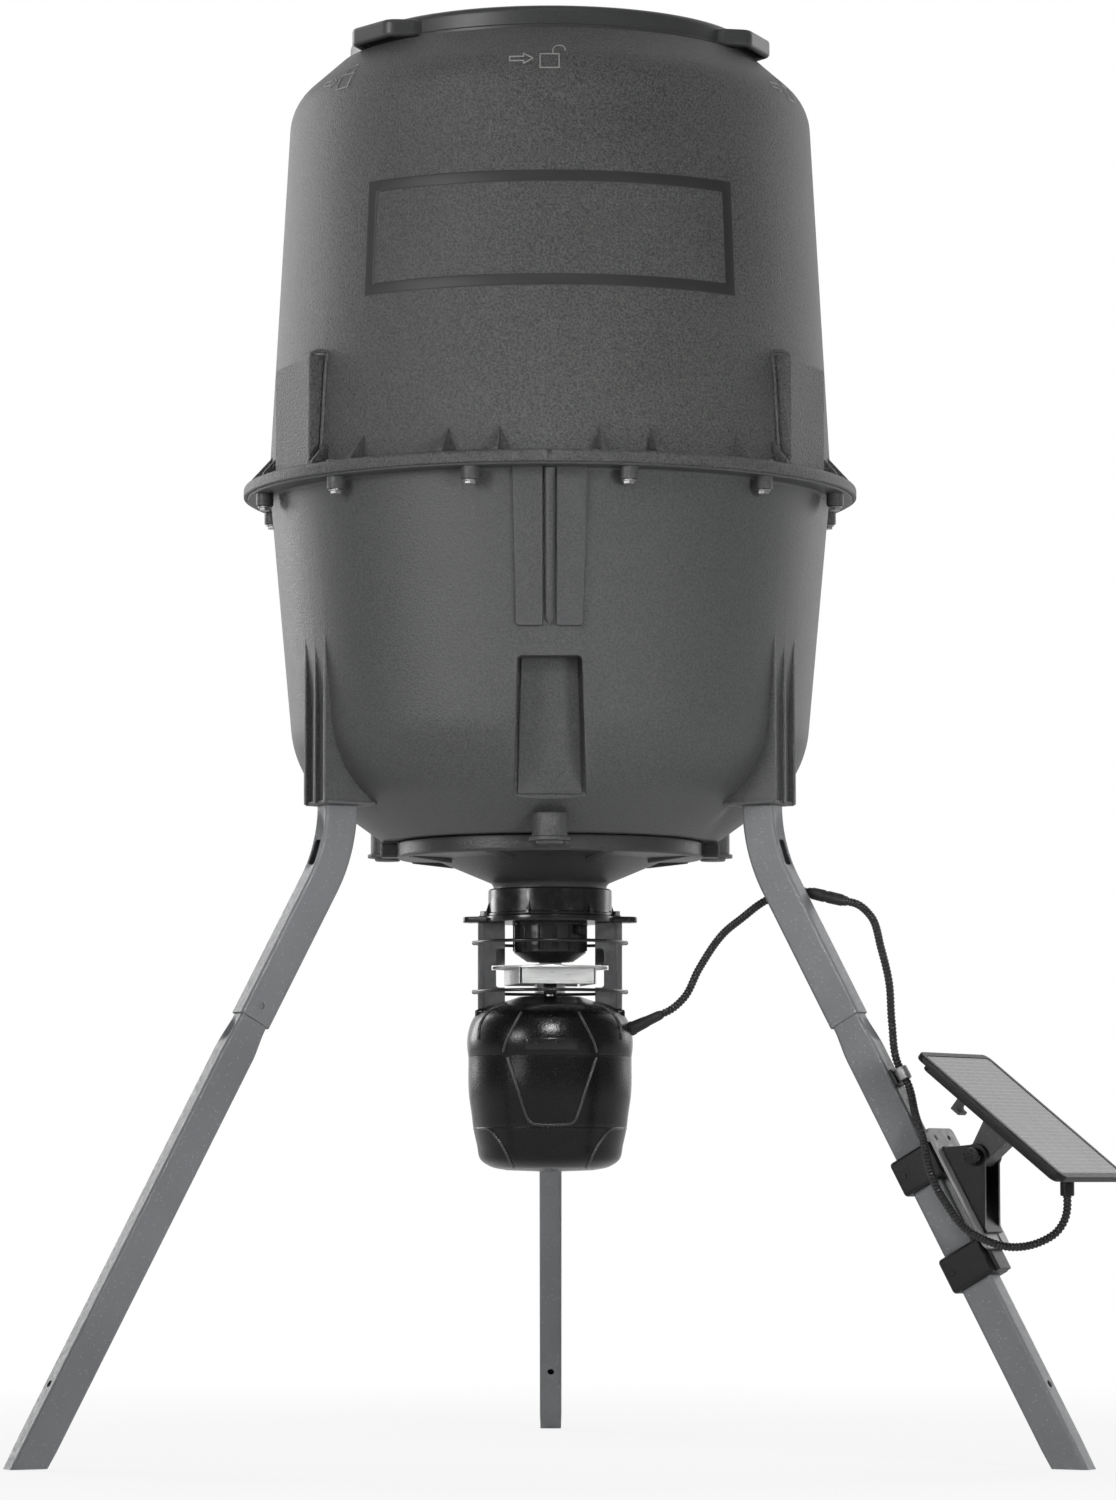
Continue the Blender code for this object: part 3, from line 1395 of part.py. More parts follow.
DRUM = new_material("drum_plastic", (0.075, 0.077, 0.076), 0.55)
BLACK = new_material("black_plastic", (0.014, 0.014, 0.015), 0.42)
GLOSS = new_material("gloss_black", (0.010, 0.010, 0.011), 0.22)
RUBBER = new_material("rubber", (0.016, 0.016, 0.017), 0.65)
ZINC = new_material("zinc_plate", (0.55, 0.55, 0.54), 0.35, 1.0)
ALUMINIUM = new_material("bright_aluminium", (0.78, 0.79, 0.78), 0.30, 1.0)
LEG_STEEL = new_material("leg_powder_coat", (0.125, 0.127, 0.130), 0.48)
BRACKET_STEEL = new_material("bracket_steel", (0.42, 0.42, 0.42), 0.45, 0.6)
BRACKET_GREY = new_material("bracket_grey", (0.075, 0.075, 0.078), 0.50)
BATTERY_GREY = new_material("battery_case", (0.06, 0.06, 0.065), 0.55)
TIMER_GREY = new_material("timer_case", (0.20, 0.20, 0.21), 0.50)
SCREEN = new_material("display_glass", (0.24, 0.29, 0.22), 0.15)
CABLE = new_material("cable_sheath", (0.020, 0.020, 0.021), 0.50)
CELLS = new_material("solar_cells", (0.26, 0.26, 0.27), 0.18)

hopper_upper()
hopper_lower()
flange_screws()
lid()
outlet_funnel()
legs()
collar_and_plate()
straps_and_rings()
nozzle_and_spinner()
controller()
bracket()
panel()
cable()
bpy.data.scenes.remove(SHAPING)
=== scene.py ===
"""Looks of the spin cast feeder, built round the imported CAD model. Metres, +Z up, front towards -Y.

Shapes are made about the hopper's axis, in a scene of their own, and moved to the model's place at the end.
"""

import json
import math

import bmesh
import bpy
from mathutils import Matrix, Vector

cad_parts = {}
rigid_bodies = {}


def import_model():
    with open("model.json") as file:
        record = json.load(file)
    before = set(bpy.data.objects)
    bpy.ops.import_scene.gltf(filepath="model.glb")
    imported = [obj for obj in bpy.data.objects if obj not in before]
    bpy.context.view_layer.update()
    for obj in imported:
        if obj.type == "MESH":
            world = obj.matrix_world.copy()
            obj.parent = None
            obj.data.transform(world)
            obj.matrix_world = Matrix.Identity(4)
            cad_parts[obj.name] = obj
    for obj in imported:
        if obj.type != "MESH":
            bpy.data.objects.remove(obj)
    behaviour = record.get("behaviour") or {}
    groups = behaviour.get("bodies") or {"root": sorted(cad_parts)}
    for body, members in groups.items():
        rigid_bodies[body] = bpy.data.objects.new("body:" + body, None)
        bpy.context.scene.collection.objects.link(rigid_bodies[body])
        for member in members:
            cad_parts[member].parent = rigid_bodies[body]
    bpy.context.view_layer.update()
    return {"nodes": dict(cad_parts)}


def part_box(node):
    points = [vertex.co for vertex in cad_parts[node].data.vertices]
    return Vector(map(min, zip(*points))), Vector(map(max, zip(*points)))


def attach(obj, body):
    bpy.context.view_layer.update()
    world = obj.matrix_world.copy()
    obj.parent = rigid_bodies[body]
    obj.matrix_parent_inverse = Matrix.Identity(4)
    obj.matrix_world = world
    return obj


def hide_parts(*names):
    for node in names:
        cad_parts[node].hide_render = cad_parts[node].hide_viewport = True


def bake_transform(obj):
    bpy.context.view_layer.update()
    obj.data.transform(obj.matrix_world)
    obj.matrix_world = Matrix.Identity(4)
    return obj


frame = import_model()
NODES = frame["nodes"]
SHAPING = bpy.data.scenes.new("shaping")

# Place of the hopper's axis and the directions that parts are set out by
SEAL_LOW, SEAL_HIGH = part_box("lid_gasket")
AXIS = Vector(((SEAL_LOW.x + SEAL_HIGH.x) / 2, (SEAL_LOW.y + SEAL_HIGH.y) / 2, 0.0))
FRONT = -90.0
LEGS = {"left": -150.0, "right": -30.0, "back": 90.0}
SIDES = {"left": -1, "right": 1}
PADS = (FRONT, FRONT + 120.0, FRONT - 120.0)
GAP = 0.0003
# Steps round a large turned shape and a middling one, round a leg's bend and between points of a route
FINE = 144
MIDDLING = 96
BEND_STEPS = 22
ROUTE_STEPS = 24
# The least angle between faces at which an edge is rounded
SHARP_EDGE = math.radians(25)

# Camera and light, in the order name, place, target, size, spread and power of each lamp
CAMERA_LENS = 129.6
CAMERA_PLACE = Vector((0.00744, -5.022, 0.252))
CAMERA_TILT = 4.553
ROOM_FRONT = 0.16
ROOM_LIGHT = 0.6
LAMPS = (
    ("key_left", (-2.9, -2.8, 1.8), (0.0, 0.0, 1.25), (1.4, 2.0), 34.0, 5.0),
    ("top_front", (0.0, -2.4, 3.4), (0.0, 0.0, 0.9), (2.2, 1.0), 80.0, 1.6),
    ("low_right", (1.9, -3.1, 0.75), (-0.08, 0.0, 0.45), (0.8, 0.8), 60.0, 8.5),
    ("fill_right", (3.6, -1.6, 1.2), (0.0, 0.0, 0.7), (1.6, 2.4), 180.0, 1.2),
    ("rim_left", (-3.0, 2.6, 1.8), (0.0, -0.1, 0.7), (1.4, 2.6), 180.0, 58.0),
    ("rim_right", (3.0, 2.8, 1.8), (0.0, -0.1, 0.7), (1.4, 2.6), 180.0, 20.0),
    ("glint_front", (0.1, -3.2, 2.1), (0.0, 0.0, 0.39), (1.2, 0.5), 16.0, 1.4),
)

# Hopper
WALL = 0.004
FLANGE_R = 0.2865
FLANGE_TOP = 0.897
LIP_BOTTOM = 0.8855
SPLIT = 0.889
LOWER_FLANGE_R = 0.283
LOWER_FLANGE_BOTTOM = 0.8835
UPPER_BASE_R = 0.263
SHOULDER = (0.2432, 1.2535)
LAND = (0.1985, 1.2932)
NECK_R = 0.1655
NECK_TOP = 1.3085
LOWER_TOP_R = 0.2609
KNEE = (0.2372, 0.6239)
KNEE_FILLET = 0.097
BOTTOM = (0.156, 0.5655)
BOTTOM_HOLE_R = 0.12
SCREW_CIRCLE = 0.2725
SCREW_TURNS = [FRONT + 15.0 + 30.0 * index for index in range(12)]
BOSS_R = 0.008
BOSS_BOTTOM = 0.872
SIDE_PAD_TOP = 1.0
SIDE_PAD_R = 0.2708
FRONT_PAD_Z = (0.7427, 0.886)
RECESS_HALF = 0.029
RECESS_PANEL_HALF = 0.0253
RECESS_TOP = 0.717
RECESS_BACK = ((0.2217, RECESS_TOP), (0.2155, 0.655), (0.1970, 0.5975))
FRONT_BOSS_CIRCLE = 0.178
BADGE_HALF = 0.1655
BADGE_Z = (1.0480, 1.1530)
BADGE_BAND = 0.0105
BADGE_CELLS = 56
TAB_HALF = 0.014

# Leg tubes
LEG_WIDE = 0.032
LEG_THICK = 0.022
LEG_WALL = 0.0015
LEG_TOP_R = 0.2236
LEG_TOP_Z = 0.688
LEG_VERTEX_Z = 0.5534
LEG_LEAN = math.radians(28.93)
LEG_ALONG = Vector((math.sin(LEG_LEAN), 0, -math.cos(LEG_LEAN)))
LEG_ACROSS = Vector((math.cos(LEG_LEAN), 0, math.sin(LEG_LEAN)))
LEG_BEND_R = 0.15
UPPER_LEG_RUN = 0.1809
SWAGE = 0.034
PIN_R = 0.0035
PIN_RUN = UPPER_LEG_RUN - 0.014
STAKE_Z = 0.066
LEG_CORNER_R = 0.0032
LEG_INNER_CORNER_R = 0.0017
SOCKET_BOTTOM = 0.5915
SOCKET_FIN_R = 0.2476
SOCKET_FIN_TOP = 0.745

# Lid
LID_R = 0.188
LID_Z = (1.2938, 1.3165)
EARS = (FRONT - 52.0, FRONT + 68.0, FRONT + 188.0)
EAR_Z = (1.2950, 1.3112)
LID_TAB_TURN = 34.0

# Feeder unit and controller
FUNNEL_R = 0.1425
COLLAR_Z = (0.4963, 0.5215)
PLATE_Z = (0.4905, 0.496)
NOZZLE_R = 0.0335
THUMB_TURN = 48.0
THUMB_Z = 0.4832
STRAP_X = (0.042, 0.067)
STRAP_Z = (0.4098, 0.4902)
RING_R = 0.0706
RING_WIRE_R = 0.0015
RING_Z = {"upper": 0.4718, "lower": 0.4262}
SPINNER_Z = (0.4328, 0.4495)
HUB_R = 0.0142
HUB_BORE_R = 0.0031
DOME = (
    (0.029, 0.4216), (0.037, 0.4188), (0.060, 0.4110), (0.0700, 0.4035), (0.0757, 0.3900), (0.0767, 0.3725),
    (0.0758, 0.3663),
)
CUP = (
    (0.0758, 0.3660), (0.0752, 0.3300), (0.0730, 0.3145), (0.0711, 0.2997), (0.0679, 0.2850),
    (0.0642, 0.2706), (0.0560, 0.2648), (0.0400, 0.2610),
)
CUP_BOTTOM = 0.2595
SHELL = 0.0028

# Solar panel and bracket, in the right leg's plane
PANEL_CENTRE = (0.4803, 0.305)
PANEL_SLOPE = math.radians(38.4)
PANEL_HALF = (0.089, 0.0695)
PANEL_THICK = 0.012
PIVOT = (0.4436, 0.2732)
PIVOT_BORE_R = 0.0033
PANEL_BOSS = (0.538, -0.028)
PANEL_BOSS_Z = (0.238, 0.2555)
BRACKET_BLOCKS = (0.261, 0.1755)
BASE_Z = (0.283, 0.177)
BASE_N = (0.0285, 0.0315)

# Cable: the routes of the CAD cable, from the hopper's axis
CABLE_RIB_R = 0.0038
CABLE_RIB_PITCH = 0.0034
CABLE_RIB_SWELL = (0.76, 0.94, 1.0, 0.94)
GLAND = (Vector((0.0745, 0.0, 0.3916)), Vector((0.1030, -0.0100, 0.4050)))
CONNECTOR = (Vector((0.2347, -0.1141, 0.5130)), Vector((0.2690, -0.1380, 0.5035)))
CLIP_Z = 0.3346
CLIP_OUT = 0.025
CLIP_SIDEWAYS = -0.003
LOOP_START = Vector((0.3377, -0.2388, 0.2555))
LEAD_TO_LEG = (
    (0.1235, -0.0192, 0.4195), (0.1377, -0.0320, 0.4464), (0.1610, -0.0580, 0.4794),
    (0.1752, -0.0740, 0.4906), (0.1973, -0.0935, 0.5065), (0.2149, -0.1020, 0.5140),
)
LEAD_DOWN_LEG = (
    (0.2895, -0.1553, 0.4893), (0.2976, -0.1718, 0.4600),
    (0.3042, -0.1791, 0.4290), (0.3065, -0.1805, 0.3930),
)
LEAD_PAST_BRACKET = ((0.3256, -0.2035, 0.3105), (0.3316, -0.2261, 0.2847))
LOOP_TO_PANEL = (
    (0.3484, -0.2485, 0.2327), (0.3649, -0.2604, 0.2100), (0.3817, -0.2700, 0.1996),
    (0.4035, -0.2814, 0.1936), (0.4262, -0.2905, 0.1972), (0.4435, -0.2935, 0.2080),
    (0.4500, -0.2935, 0.2190),
)
# Sleeves on the cable, by share of their length and radius
GLAND_STEPS = (
    (0.0, 0.0066), (0.10, 0.0067), (0.14, 0.0060), (0.52, 0.0053),
    (0.56, 0.0049), (0.94, 0.0045), (1.0, 0.0040),
)
JOINT_STEPS = (
    (0.0, 0.0040), (0.03, 0.0046), (0.10, 0.0047), (0.13, 0.0054), (0.30, 0.0056),
    (0.42, 0.0056), (0.44, 0.0050), (0.50, 0.0050), (0.52, 0.0056), (0.72, 0.0055),
    (0.87, 0.0054), (0.90, 0.0047), (0.97, 0.0046), (1.0, 0.0040),
)


# Finishes


def add_node(tree, kind, inputs, **settings):
    """A node with its settings, and each input linked to an output or set to a value."""
    made = tree.nodes.new(kind)
    for key, value in settings.items():
        setattr(made, key, value)
    for key, value in inputs.items():
        if hasattr(value, "is_linked"):
            tree.links.new(value, made.inputs[key])
        else:
            made.inputs[key].default_value = value
    return made


class Finish:
    """A node material under construction, laid out by places in the object's own space."""

    def __init__(self, name, slot):
        self.material = bpy.data.materials.new(name)
        self.material.use_nodes = True
        self.slot = slot
        self.tree = self.material.node_tree
        self.shader = self.tree.nodes["Principled BSDF"]
        self.place = self.tree.nodes.new("ShaderNodeTexCoord").outputs["Object"]

    def node(self, kind, inputs, **settings):
        return add_node(self.tree, kind, inputs, **settings).outputs

    def noise(self, scale, detail=2.0, place=None):
        """Soft noise spread over 0 to 1."""
        inputs = {"Vector": place or self.place, "Scale": scale, "Detail": detail}
        return self.spread(self.node("ShaderNodeTexNoise", inputs)["Fac"], 0.3, 0.7)

    def spread(self, value, low, high, to_low=0.0, to_high=1.0):
        """A value taken from one range to another."""
        inputs = {"Value": value, "From Min": low, "From Max": high, "To Min": to_low, "To Max": to_high}
        return self.node("ShaderNodeMapRange", inputs)["Result"]

    def math(self, operation, *values):
        return self.node("ShaderNodeMath", dict(enumerate(values)), operation=operation)[0]

    def mix(self, factor, *colours):
        first, second = (item if hasattr(item, "is_linked") else (*item, 1.0) for item in colours)
        return self.node("ShaderNodeMix", {0: factor, 6: first, 7: second}, data_type="RGBA")[2]

    def flecks(self, share):
        """Small bright specks in a share of random cells."""
        cells = self.node("ShaderNodeTexVoronoi", {"Vector": self.place, "Scale": 520.0})
        near = self.math("LESS_THAN", cells["Distance"], 0.35)
        pick = self.node("ShaderNodeSeparateColor", {"Color": cells["Color"]})[0]
        return self.math("MULTIPLY", near, self.math("GREATER_THAN", pick, 1.0 - share))

    def wear(self, colour, factor, worn, amount):
        """Colour with a worn tone along sharp edges."""
        edge = self.node("ShaderNodeNewGeometry", {})["Pointiness"]
        amounts = self.spread(edge, 0.52, 0.60, 0.0, amount)
        return self.mix(self.math("MULTIPLY", amounts, factor), colour, worn)

    def set(self, colour, roughness=None, height=None, depth=0.0, **values):
        """Joins the colour, roughness and relief to the shader and sets its plain values."""
        joined = {"Base Color": colour, "Roughness": roughness}
        if height is not None:
            inputs = {"Strength": 1.0, "Distance": depth, "Height": height}
            joined["Normal"] = self.node("ShaderNodeBump", inputs)["Normal"]
        for name, value in joined.items():
            if value is not None:
                self.tree.links.new(value, self.shader.inputs[name])
        for name, value in values.items():
            self.shader.inputs[name.replace("_", " ")].default_value = value
        return self


def tones(colour, spread):
    """A darker and a lighter tone of a colour."""
    return [tuple(min(1.0, part * (1 + shift)) for part in colour) for shift in (-spread, spread)]


def moulded(name, slot, colour, roughness, grain, depth=0.00012, spread=0.22, **values):
    """Moulded plastic: a fine grain, broad patches and paler worn edges.

    grain is the grain's scale, depth its height and spread how far its tones differ.
    """
    made = Finish(name, slot)
    fine = made.noise(grain)
    broad = made.noise(9.0, 3.0)
    mixed = made.math("MULTIPLY_ADD", fine, 0.88, made.math("MULTIPLY", broad, 0.12))
    base = made.mix(mixed, *tones(colour, spread))
    base = made.wear(base, broad, tuple(part * 2.2 + 0.02 for part in colour), 0.55)
    rough = made.spread(fine, 0.0, 1.0, roughness - 0.07, roughness + 0.09)
    return made.set(base, rough, fine, depth, **values)


def coated(name, slot, colour, fleck, roughness, share):
    """Powder coat: an orange-peel skin with small pale flecks."""
    made = Finish(name, slot)
    peel = made.noise(260.0)
    base = made.mix(made.noise(7.0, 3.0), *tones(colour, 0.14))
    base = made.mix(made.math("MULTIPLY", made.flecks(share), 0.75), base, fleck)
    base = made.wear(base, peel, tuple(part * 1.5 for part in colour), 0.4)
    rough = made.spread(peel, 0.0, 1.0, roughness - 0.06, roughness + 0.08)
    return made.set(base, rough, peel, 0.00008)


def metal(name, slot, colour, roughness, stretch, metallic=1.0, dull=0.25):
    """Sheet or plated metal with fine drawn lines and dull spots."""
    made = Finish(name, slot)
    drawn = made.node("ShaderNodeMapping", {"Vector": made.place, "Scale": stretch})["Vector"]
    lines = made.noise(1.0, 3.0, drawn)
    spots = made.noise(60.0, 3.0)
    base = made.mix(lines, *tones(colour, 0.12))
    base = made.mix(made.math("MULTIPLY", spots, dull), base, tuple(part * 0.6 for part in colour))
    rough = made.spread(lines, 0.0, 1.0, roughness - 0.08, roughness + 0.10)
    return made.set(base, rough, lines, 0.00002, Metallic=metallic)


# Shape helpers


def spin(azimuth):
    return Matrix.Rotation(math.radians(azimuth), 4, "Z")


RIGHT_LEG = spin(LEGS["right"])
# Takes (radius, height, thickness) to its place in the plane of azimuth 0
RADIAL = Matrix(((1, 0, 0, 0), (0, 0, -1, 0), (0, 1, 0, 0), (0, 0, 0, 1)))


def polar(radius, azimuth, height):
    angle = math.radians(azimuth)
    return Vector((radius * math.cos(angle), radius * math.sin(angle), height))


def held(shape, place=None):
    """Turns a bmesh into an object of the shaping scene."""
    bmesh.ops.recalc_face_normals(shape, faces=shape.faces)
    mesh = bpy.data.meshes.new("shape")
    shape.to_mesh(mesh)
    shape.free()
    if place is not None:
        mesh.transform(place)
    obj = bpy.data.objects.new("shape", mesh)
    SHAPING.collection.objects.link(obj)
    return obj


def combine(base, added=(), cutters=()):
    """Joins shapes to a base, cuts others from it and works the result out."""
    groups = []
    for operation, others in (("UNION", added), ("DIFFERENCE", cutters)):
        if not others:
            continue
        group = bpy.data.collections.new(operation.lower())
        SHAPING.collection.children.link(group)
        for other in others:
            SHAPING.collection.objects.unlink(other)
            group.objects.link(other)
        modifier = base.modifiers.new(operation.lower(), "BOOLEAN")
        modifier.operation = operation
        modifier.operand_type = "COLLECTION"
        modifier.collection = group
        modifier.solver = "EXACT"
        groups.append(group)
    layer = SHAPING.view_layers[0]
    layer.update()
    mesh = bpy.data.meshes.new_from_object(base.evaluated_get(layer.depsgraph))
    base.modifiers.clear()
    base.data = mesh
    for group in groups:
        for other in list(group.objects):
            bpy.data.objects.remove(other)
        bpy.data.collections.remove(group)
    return base


def gather(objects):
    """Puts several finished shapes that don't meet into one object."""
    shape = bmesh.new()
    for obj in objects:
        shape.from_mesh(obj.data)
        bpy.data.objects.remove(obj)
    return held(shape)


def weigh(obj):
    """Lets large faces set the shading at a rounded edge, so that flat faces look flat."""
    obj.modifiers.new("weigh", "WEIGHTED_NORMAL").keep_sharp = True
    graph = bpy.context.evaluated_depsgraph_get()
    seen = obj.evaluated_get(graph)
    made = bpy.data.meshes.new_from_object(seen, preserve_all_data_layers=True, depsgraph=graph)
    obj.modifiers.clear()
    old, obj.data = obj.data, made
    bpy.data.meshes.remove(old)
    made.name = obj.name


def piece(name, obj, finish, body, *nodes, sharp=32.0):
    """Moves a finished shape to the model's place, on its body, in place of its CAD nodes."""
    SHAPING.collection.objects.unlink(obj)
    bpy.context.scene.collection.objects.link(obj)
    obj.name = name
    obj.data.name = name
    obj.data.transform(Matrix.Translation(AXIS))
    obj.data.materials.clear()
    obj.data.materials.append(finish.material)
    obj.data.shade_smooth()
    obj.data.set_sharp_from_angle(angle=math.radians(sharp))
    weigh(obj)
    if body:
        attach(obj, body)
    if nodes:
        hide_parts(*nodes)
    return obj


def soften(shape, width, segments=2, pick=None):
    """Rounds the sharp edges of a bmesh, or those of them that pick() takes."""
    edges = []
    for edge in shape.edges:
        if len(edge.link_faces) == 2 and edge.calc_face_angle(0.0) > SHARP_EDGE:
            if pick is None or pick(edge):
                edges.append(edge)
    settings = {"offset_type": "OFFSET", "profile": 0.5, "affect": "EDGES", "clamp_overlap": True}
    bmesh.ops.bevel(shape, geom=edges, offset=width, segments=segments, **settings)


def block(corner, opposite, bevel=0.0, segments=3, place=None):
    """A box between two opposite corners, with rounded edges."""
    low, high = (Vector([*map(pick, corner, opposite)]) for pick in (min, max))
    shape = bmesh.new()
    bmesh.ops.create_cube(shape, size=1.0)
    bmesh.ops.scale(shape, vec=high - low, verts=shape.verts)
    bmesh.ops.translate(shape, vec=(low + high) / 2, verts=shape.verts)
    if bevel:
        soften(shape, bevel, segments)
    return held(shape, place)


def rod(start, end, radius, sides=24, bevel=0.0, place=None):
    """A round or many-sided bar, with rounded rims."""
    start = Vector(start)
    end = Vector(end)
    along = end - start
    middle = Matrix.Translation((start + end) / 2) @ along.to_track_quat("Z", "Y").to_matrix().to_4x4()
    size = {"radius1": radius, "radius2": radius, "depth": along.length}
    shape = bmesh.new()
    bmesh.ops.create_cone(shape, cap_ends=True, segments=sides, matrix=middle, **size)
    if bevel:
        soften(shape, bevel, 2, lambda edge: any(len(face.verts) > 4 for face in edge.link_faces))
    return held(shape, place)


def hull(points, place=None, bevel=0.0):
    shape = bmesh.new()
    verts = [shape.verts.new(point) for point in points]
    made = bmesh.ops.convex_hull(shape, input=verts)
    bmesh.ops.delete(shape, geom=made["geom_interior"], context="VERTS")
    bmesh.ops.dissolve_limit(shape, angle_limit=0.01, verts=shape.verts, edges=shape.edges)
    if bevel:
        soften(shape, bevel, 2)
    return held(shape, place)


def wedge(half, place, bevel):
    """The hull of (radius, half width, height) points and their mirror images."""
    points = [(radius, side * wide, height) for side in (-1, 1) for radius, wide, height in half]
    return hull(points, place, bevel)


def plate(outline, low, high, place=None, bevel=0.0, segments=2, pick=None):
    """An outline of (x, y) points with thickness between two heights."""
    shape = bmesh.new()
    face = shape.faces.new([shape.verts.new((x, y, low)) for x, y in outline])
    made = bmesh.ops.extrude_face_region(shape, geom=[face])
    moved = [item for item in made["geom"] if isinstance(item, bmesh.types.BMVert)]
    bmesh.ops.translate(shape, vec=(0, 0, high - low), verts=moved)
    if bevel:
        bmesh.ops.recalc_face_normals(shape, faces=shape.faces)
        soften(shape, bevel, segments, pick)
    return held(shape, place)


def prism(outline, low, high, place=Matrix(), bevel=0.0, segments=2, pick=None):
    """An outline of (radius, height) points with thickness along the sideways axis."""
    return plate(outline, -high, -low, place @ RADIAL, bevel, segments, pick)


def skin(shape, pairs):
    """Faces between pairs of rings of points; a ring of one point is a tip."""
    for near, far in pairs:
        count = max(len(near), len(far))
        for index in range(count):
            after = (index + 1) % count
            if len(near) == 1:
                shape.faces.new((near[0], far[after], far[index]))
            elif len(far) == 1:
                shape.faces.new((near[index], near[after], far[0]))
            else:
                shape.faces.new((near[index], near[after], far[after], far[index]))


def turned(profile, steps=FINE):
    """A body turned from a closed profile of (radius, height) points."""
    shape = bmesh.new()
    turns = [math.tau * index / steps for index in range(steps)]
    rings = []
    for radius, height in profile:
        if radius < 1e-6:
            ring = [(0.0, 0.0, height)]
        else:
            ring = [(radius * math.cos(turn), radius * math.sin(turn), height) for turn in turns]
        rings.append([shape.verts.new(point) for point in ring])
    pairs = list(zip(rings, rings[1:]))
    if len(rings[0]) > 1:
        pairs.append((rings[-1], rings[0]))
    skin(shape, pairs)
    return held(shape)


def loft(rings, capped=False, place=None):
    """A skin over rings of points, closed on itself or with an end cap at each end."""
    shape = bmesh.new()
    loops = [[shape.verts.new(point) for point in ring] for ring in rings]
    pairs = list(zip(loops, loops[1:]))
    if capped:
        shape.faces.new(loops[0][::-1])
        shape.faces.new(loops[-1])
    else:
        pairs.append((loops[-1], loops[0]))
    skin(shape, pairs)
    return held(shape, place)


def tube(places, radius, sides=12):
    """A capped tube along places; radius is one number or one for each place."""
    places = [Vector(item) for item in places]
    radii = radius if isinstance(radius, list) else [radius] * len(places)
    turns = [math.tau * step / sides for step in range(sides)]
    rings = []
    side = None
    for index, here in enumerate(places):
        before = places[max(index - 1, 0)]
        after = places[min(index + 1, len(places) - 1)]
        along = (after - before).normalized()
        if side is None:
            side = along.orthogonal().normalized()
        side = (side - along * side.dot(along)).normalized()
        other = along.cross(side)
        ways = [side * math.cos(turn) + other * math.sin(turn) for turn in turns]
        rings.append([here + way * radii[index] for way in ways])
    return loft(rings, True)


def wrapped(columns, rows, lay, low, high, keep=None):
    """A thin solid laid over a curved face: all cells of a grid, or those of keep(), between two lifts."""
    shape = bmesh.new()
    verts = {}

    def vert(i, j, k):
        if (i, j, k) not in verts:
            verts[i, j, k] = shape.verts.new(lay(columns[i], rows[j], (low, high)[k]))
        return verts[i, j, k]

    grid = [(i, j) for i in range(len(columns) - 1) for j in range(len(rows) - 1)]
    cells = {cell for cell in grid if keep is None or keep(*cell)}
    for i, j in cells:
        corners = ((i, j), (i + 1, j), (i + 1, j + 1), (i, j + 1))
        for k in (0, 1):
            shape.faces.new([vert(*corner, k) for corner in corners])
        sides = (((i, j - 1), 0, 1), ((i + 1, j), 1, 2), ((i, j + 1), 2, 3), ((i - 1, j), 3, 0))
        for neighbour, first, second in sides:
            if neighbour not in cells:
                a, b = corners[first], corners[second]
                shape.faces.new((vert(*a, 0), vert(*b, 0), vert(*b, 1), vert(*a, 1)))
    return held(shape)


def arc(centre, radius, start, end, steps):
    points = []
    for index in range(steps + 1):
        angle = math.radians(start + (end - start) * index / steps)
        points.append((centre[0] + radius * math.cos(angle), centre[1] + radius * math.sin(angle)))
    return points


def fillet(before, corner, after, radius, steps):
    """Points of an arc that rounds the corner between two straight runs."""
    before, corner, after = Vector(before), Vector(corner), Vector(after)
    back = (before - corner).normalized()
    forward = (after - corner).normalized()
    half = back.angle(forward) / 2
    centre = corner + (back + forward).normalized() * radius / math.sin(half)
    start = corner + back * radius / math.tan(half) - centre
    end = corner + forward * radius / math.tan(half) - centre
    turns = [start.slerp(end, index / steps).normalized() for index in range(steps + 1)]
    return [tuple(centre + turn * radius) for turn in turns]


def rounded(points, steps=5):
    """A closed outline whose corners with a third number are rounded to that radius."""
    made = []
    for index, point in enumerate(points):
        if len(point) == 2:
            made.append(tuple(point))
            continue
        before = points[index - 1][:2]
        after = points[(index + 1) % len(points)][:2]
        made += fillet(before, point[:2], after, point[2], steps)
    return made


def inset(profile, depth):
    """The same run of points, moved to the inside by a wall's thickness."""
    moved = []
    for index, point in enumerate(profile):
        before = Vector(profile[max(index - 1, 0)])
        after = Vector(profile[min(index + 1, len(profile) - 1)])
        along = (after - before).normalized()
        moved.append((point[0] + along.y * depth, point[1] - along.x * depth))
    return moved


def smooth_route(points, spacing):
    """Evenly spaced places on a smooth curve through a route's points, and its length."""
    points = [Vector(point) for point in points]
    spans = [far - near for near, far in zip(points, points[1:])]
    headings = [spans[0].normalized()]
    for before, after in zip(spans, spans[1:]):
        blend = before.normalized() * after.length + after.normalized() * before.length
        headings.append(blend / (before.length + after.length))
    headings.append(spans[-1].normalized())
    fine = []
    for near, far, leave, arrive in zip(points, points[1:], headings, headings[1:]):
        reach = (far - near).length
        for step in range(ROUTE_STEPS):
            s = step / ROUTE_STEPS
            place = near * (2 * s**3 - 3 * s**2 + 1) + far * (3 * s**2 - 2 * s**3)
            fine.append(place + leave * reach * (s**3 - 2 * s**2 + s) + arrive * reach * (s**3 - s**2))
    fine.append(points[-1])
    lengths = [0.0]
    for near, far in zip(fine, fine[1:]):
        lengths.append(lengths[-1] + (far - near).length)
    count = max(2, round(lengths[-1] / spacing))
    places = []
    index = 0
    for step in range(count + 1):
        want = lengths[-1] * step / count
        while index < len(fine) - 2 and lengths[index + 1] < want:
            index += 1
        share = (want - lengths[index]) / (lengths[index + 1] - lengths[index])
        places.append(fine[index].lerp(fine[index + 1], share))
    return places, lengths[-1]


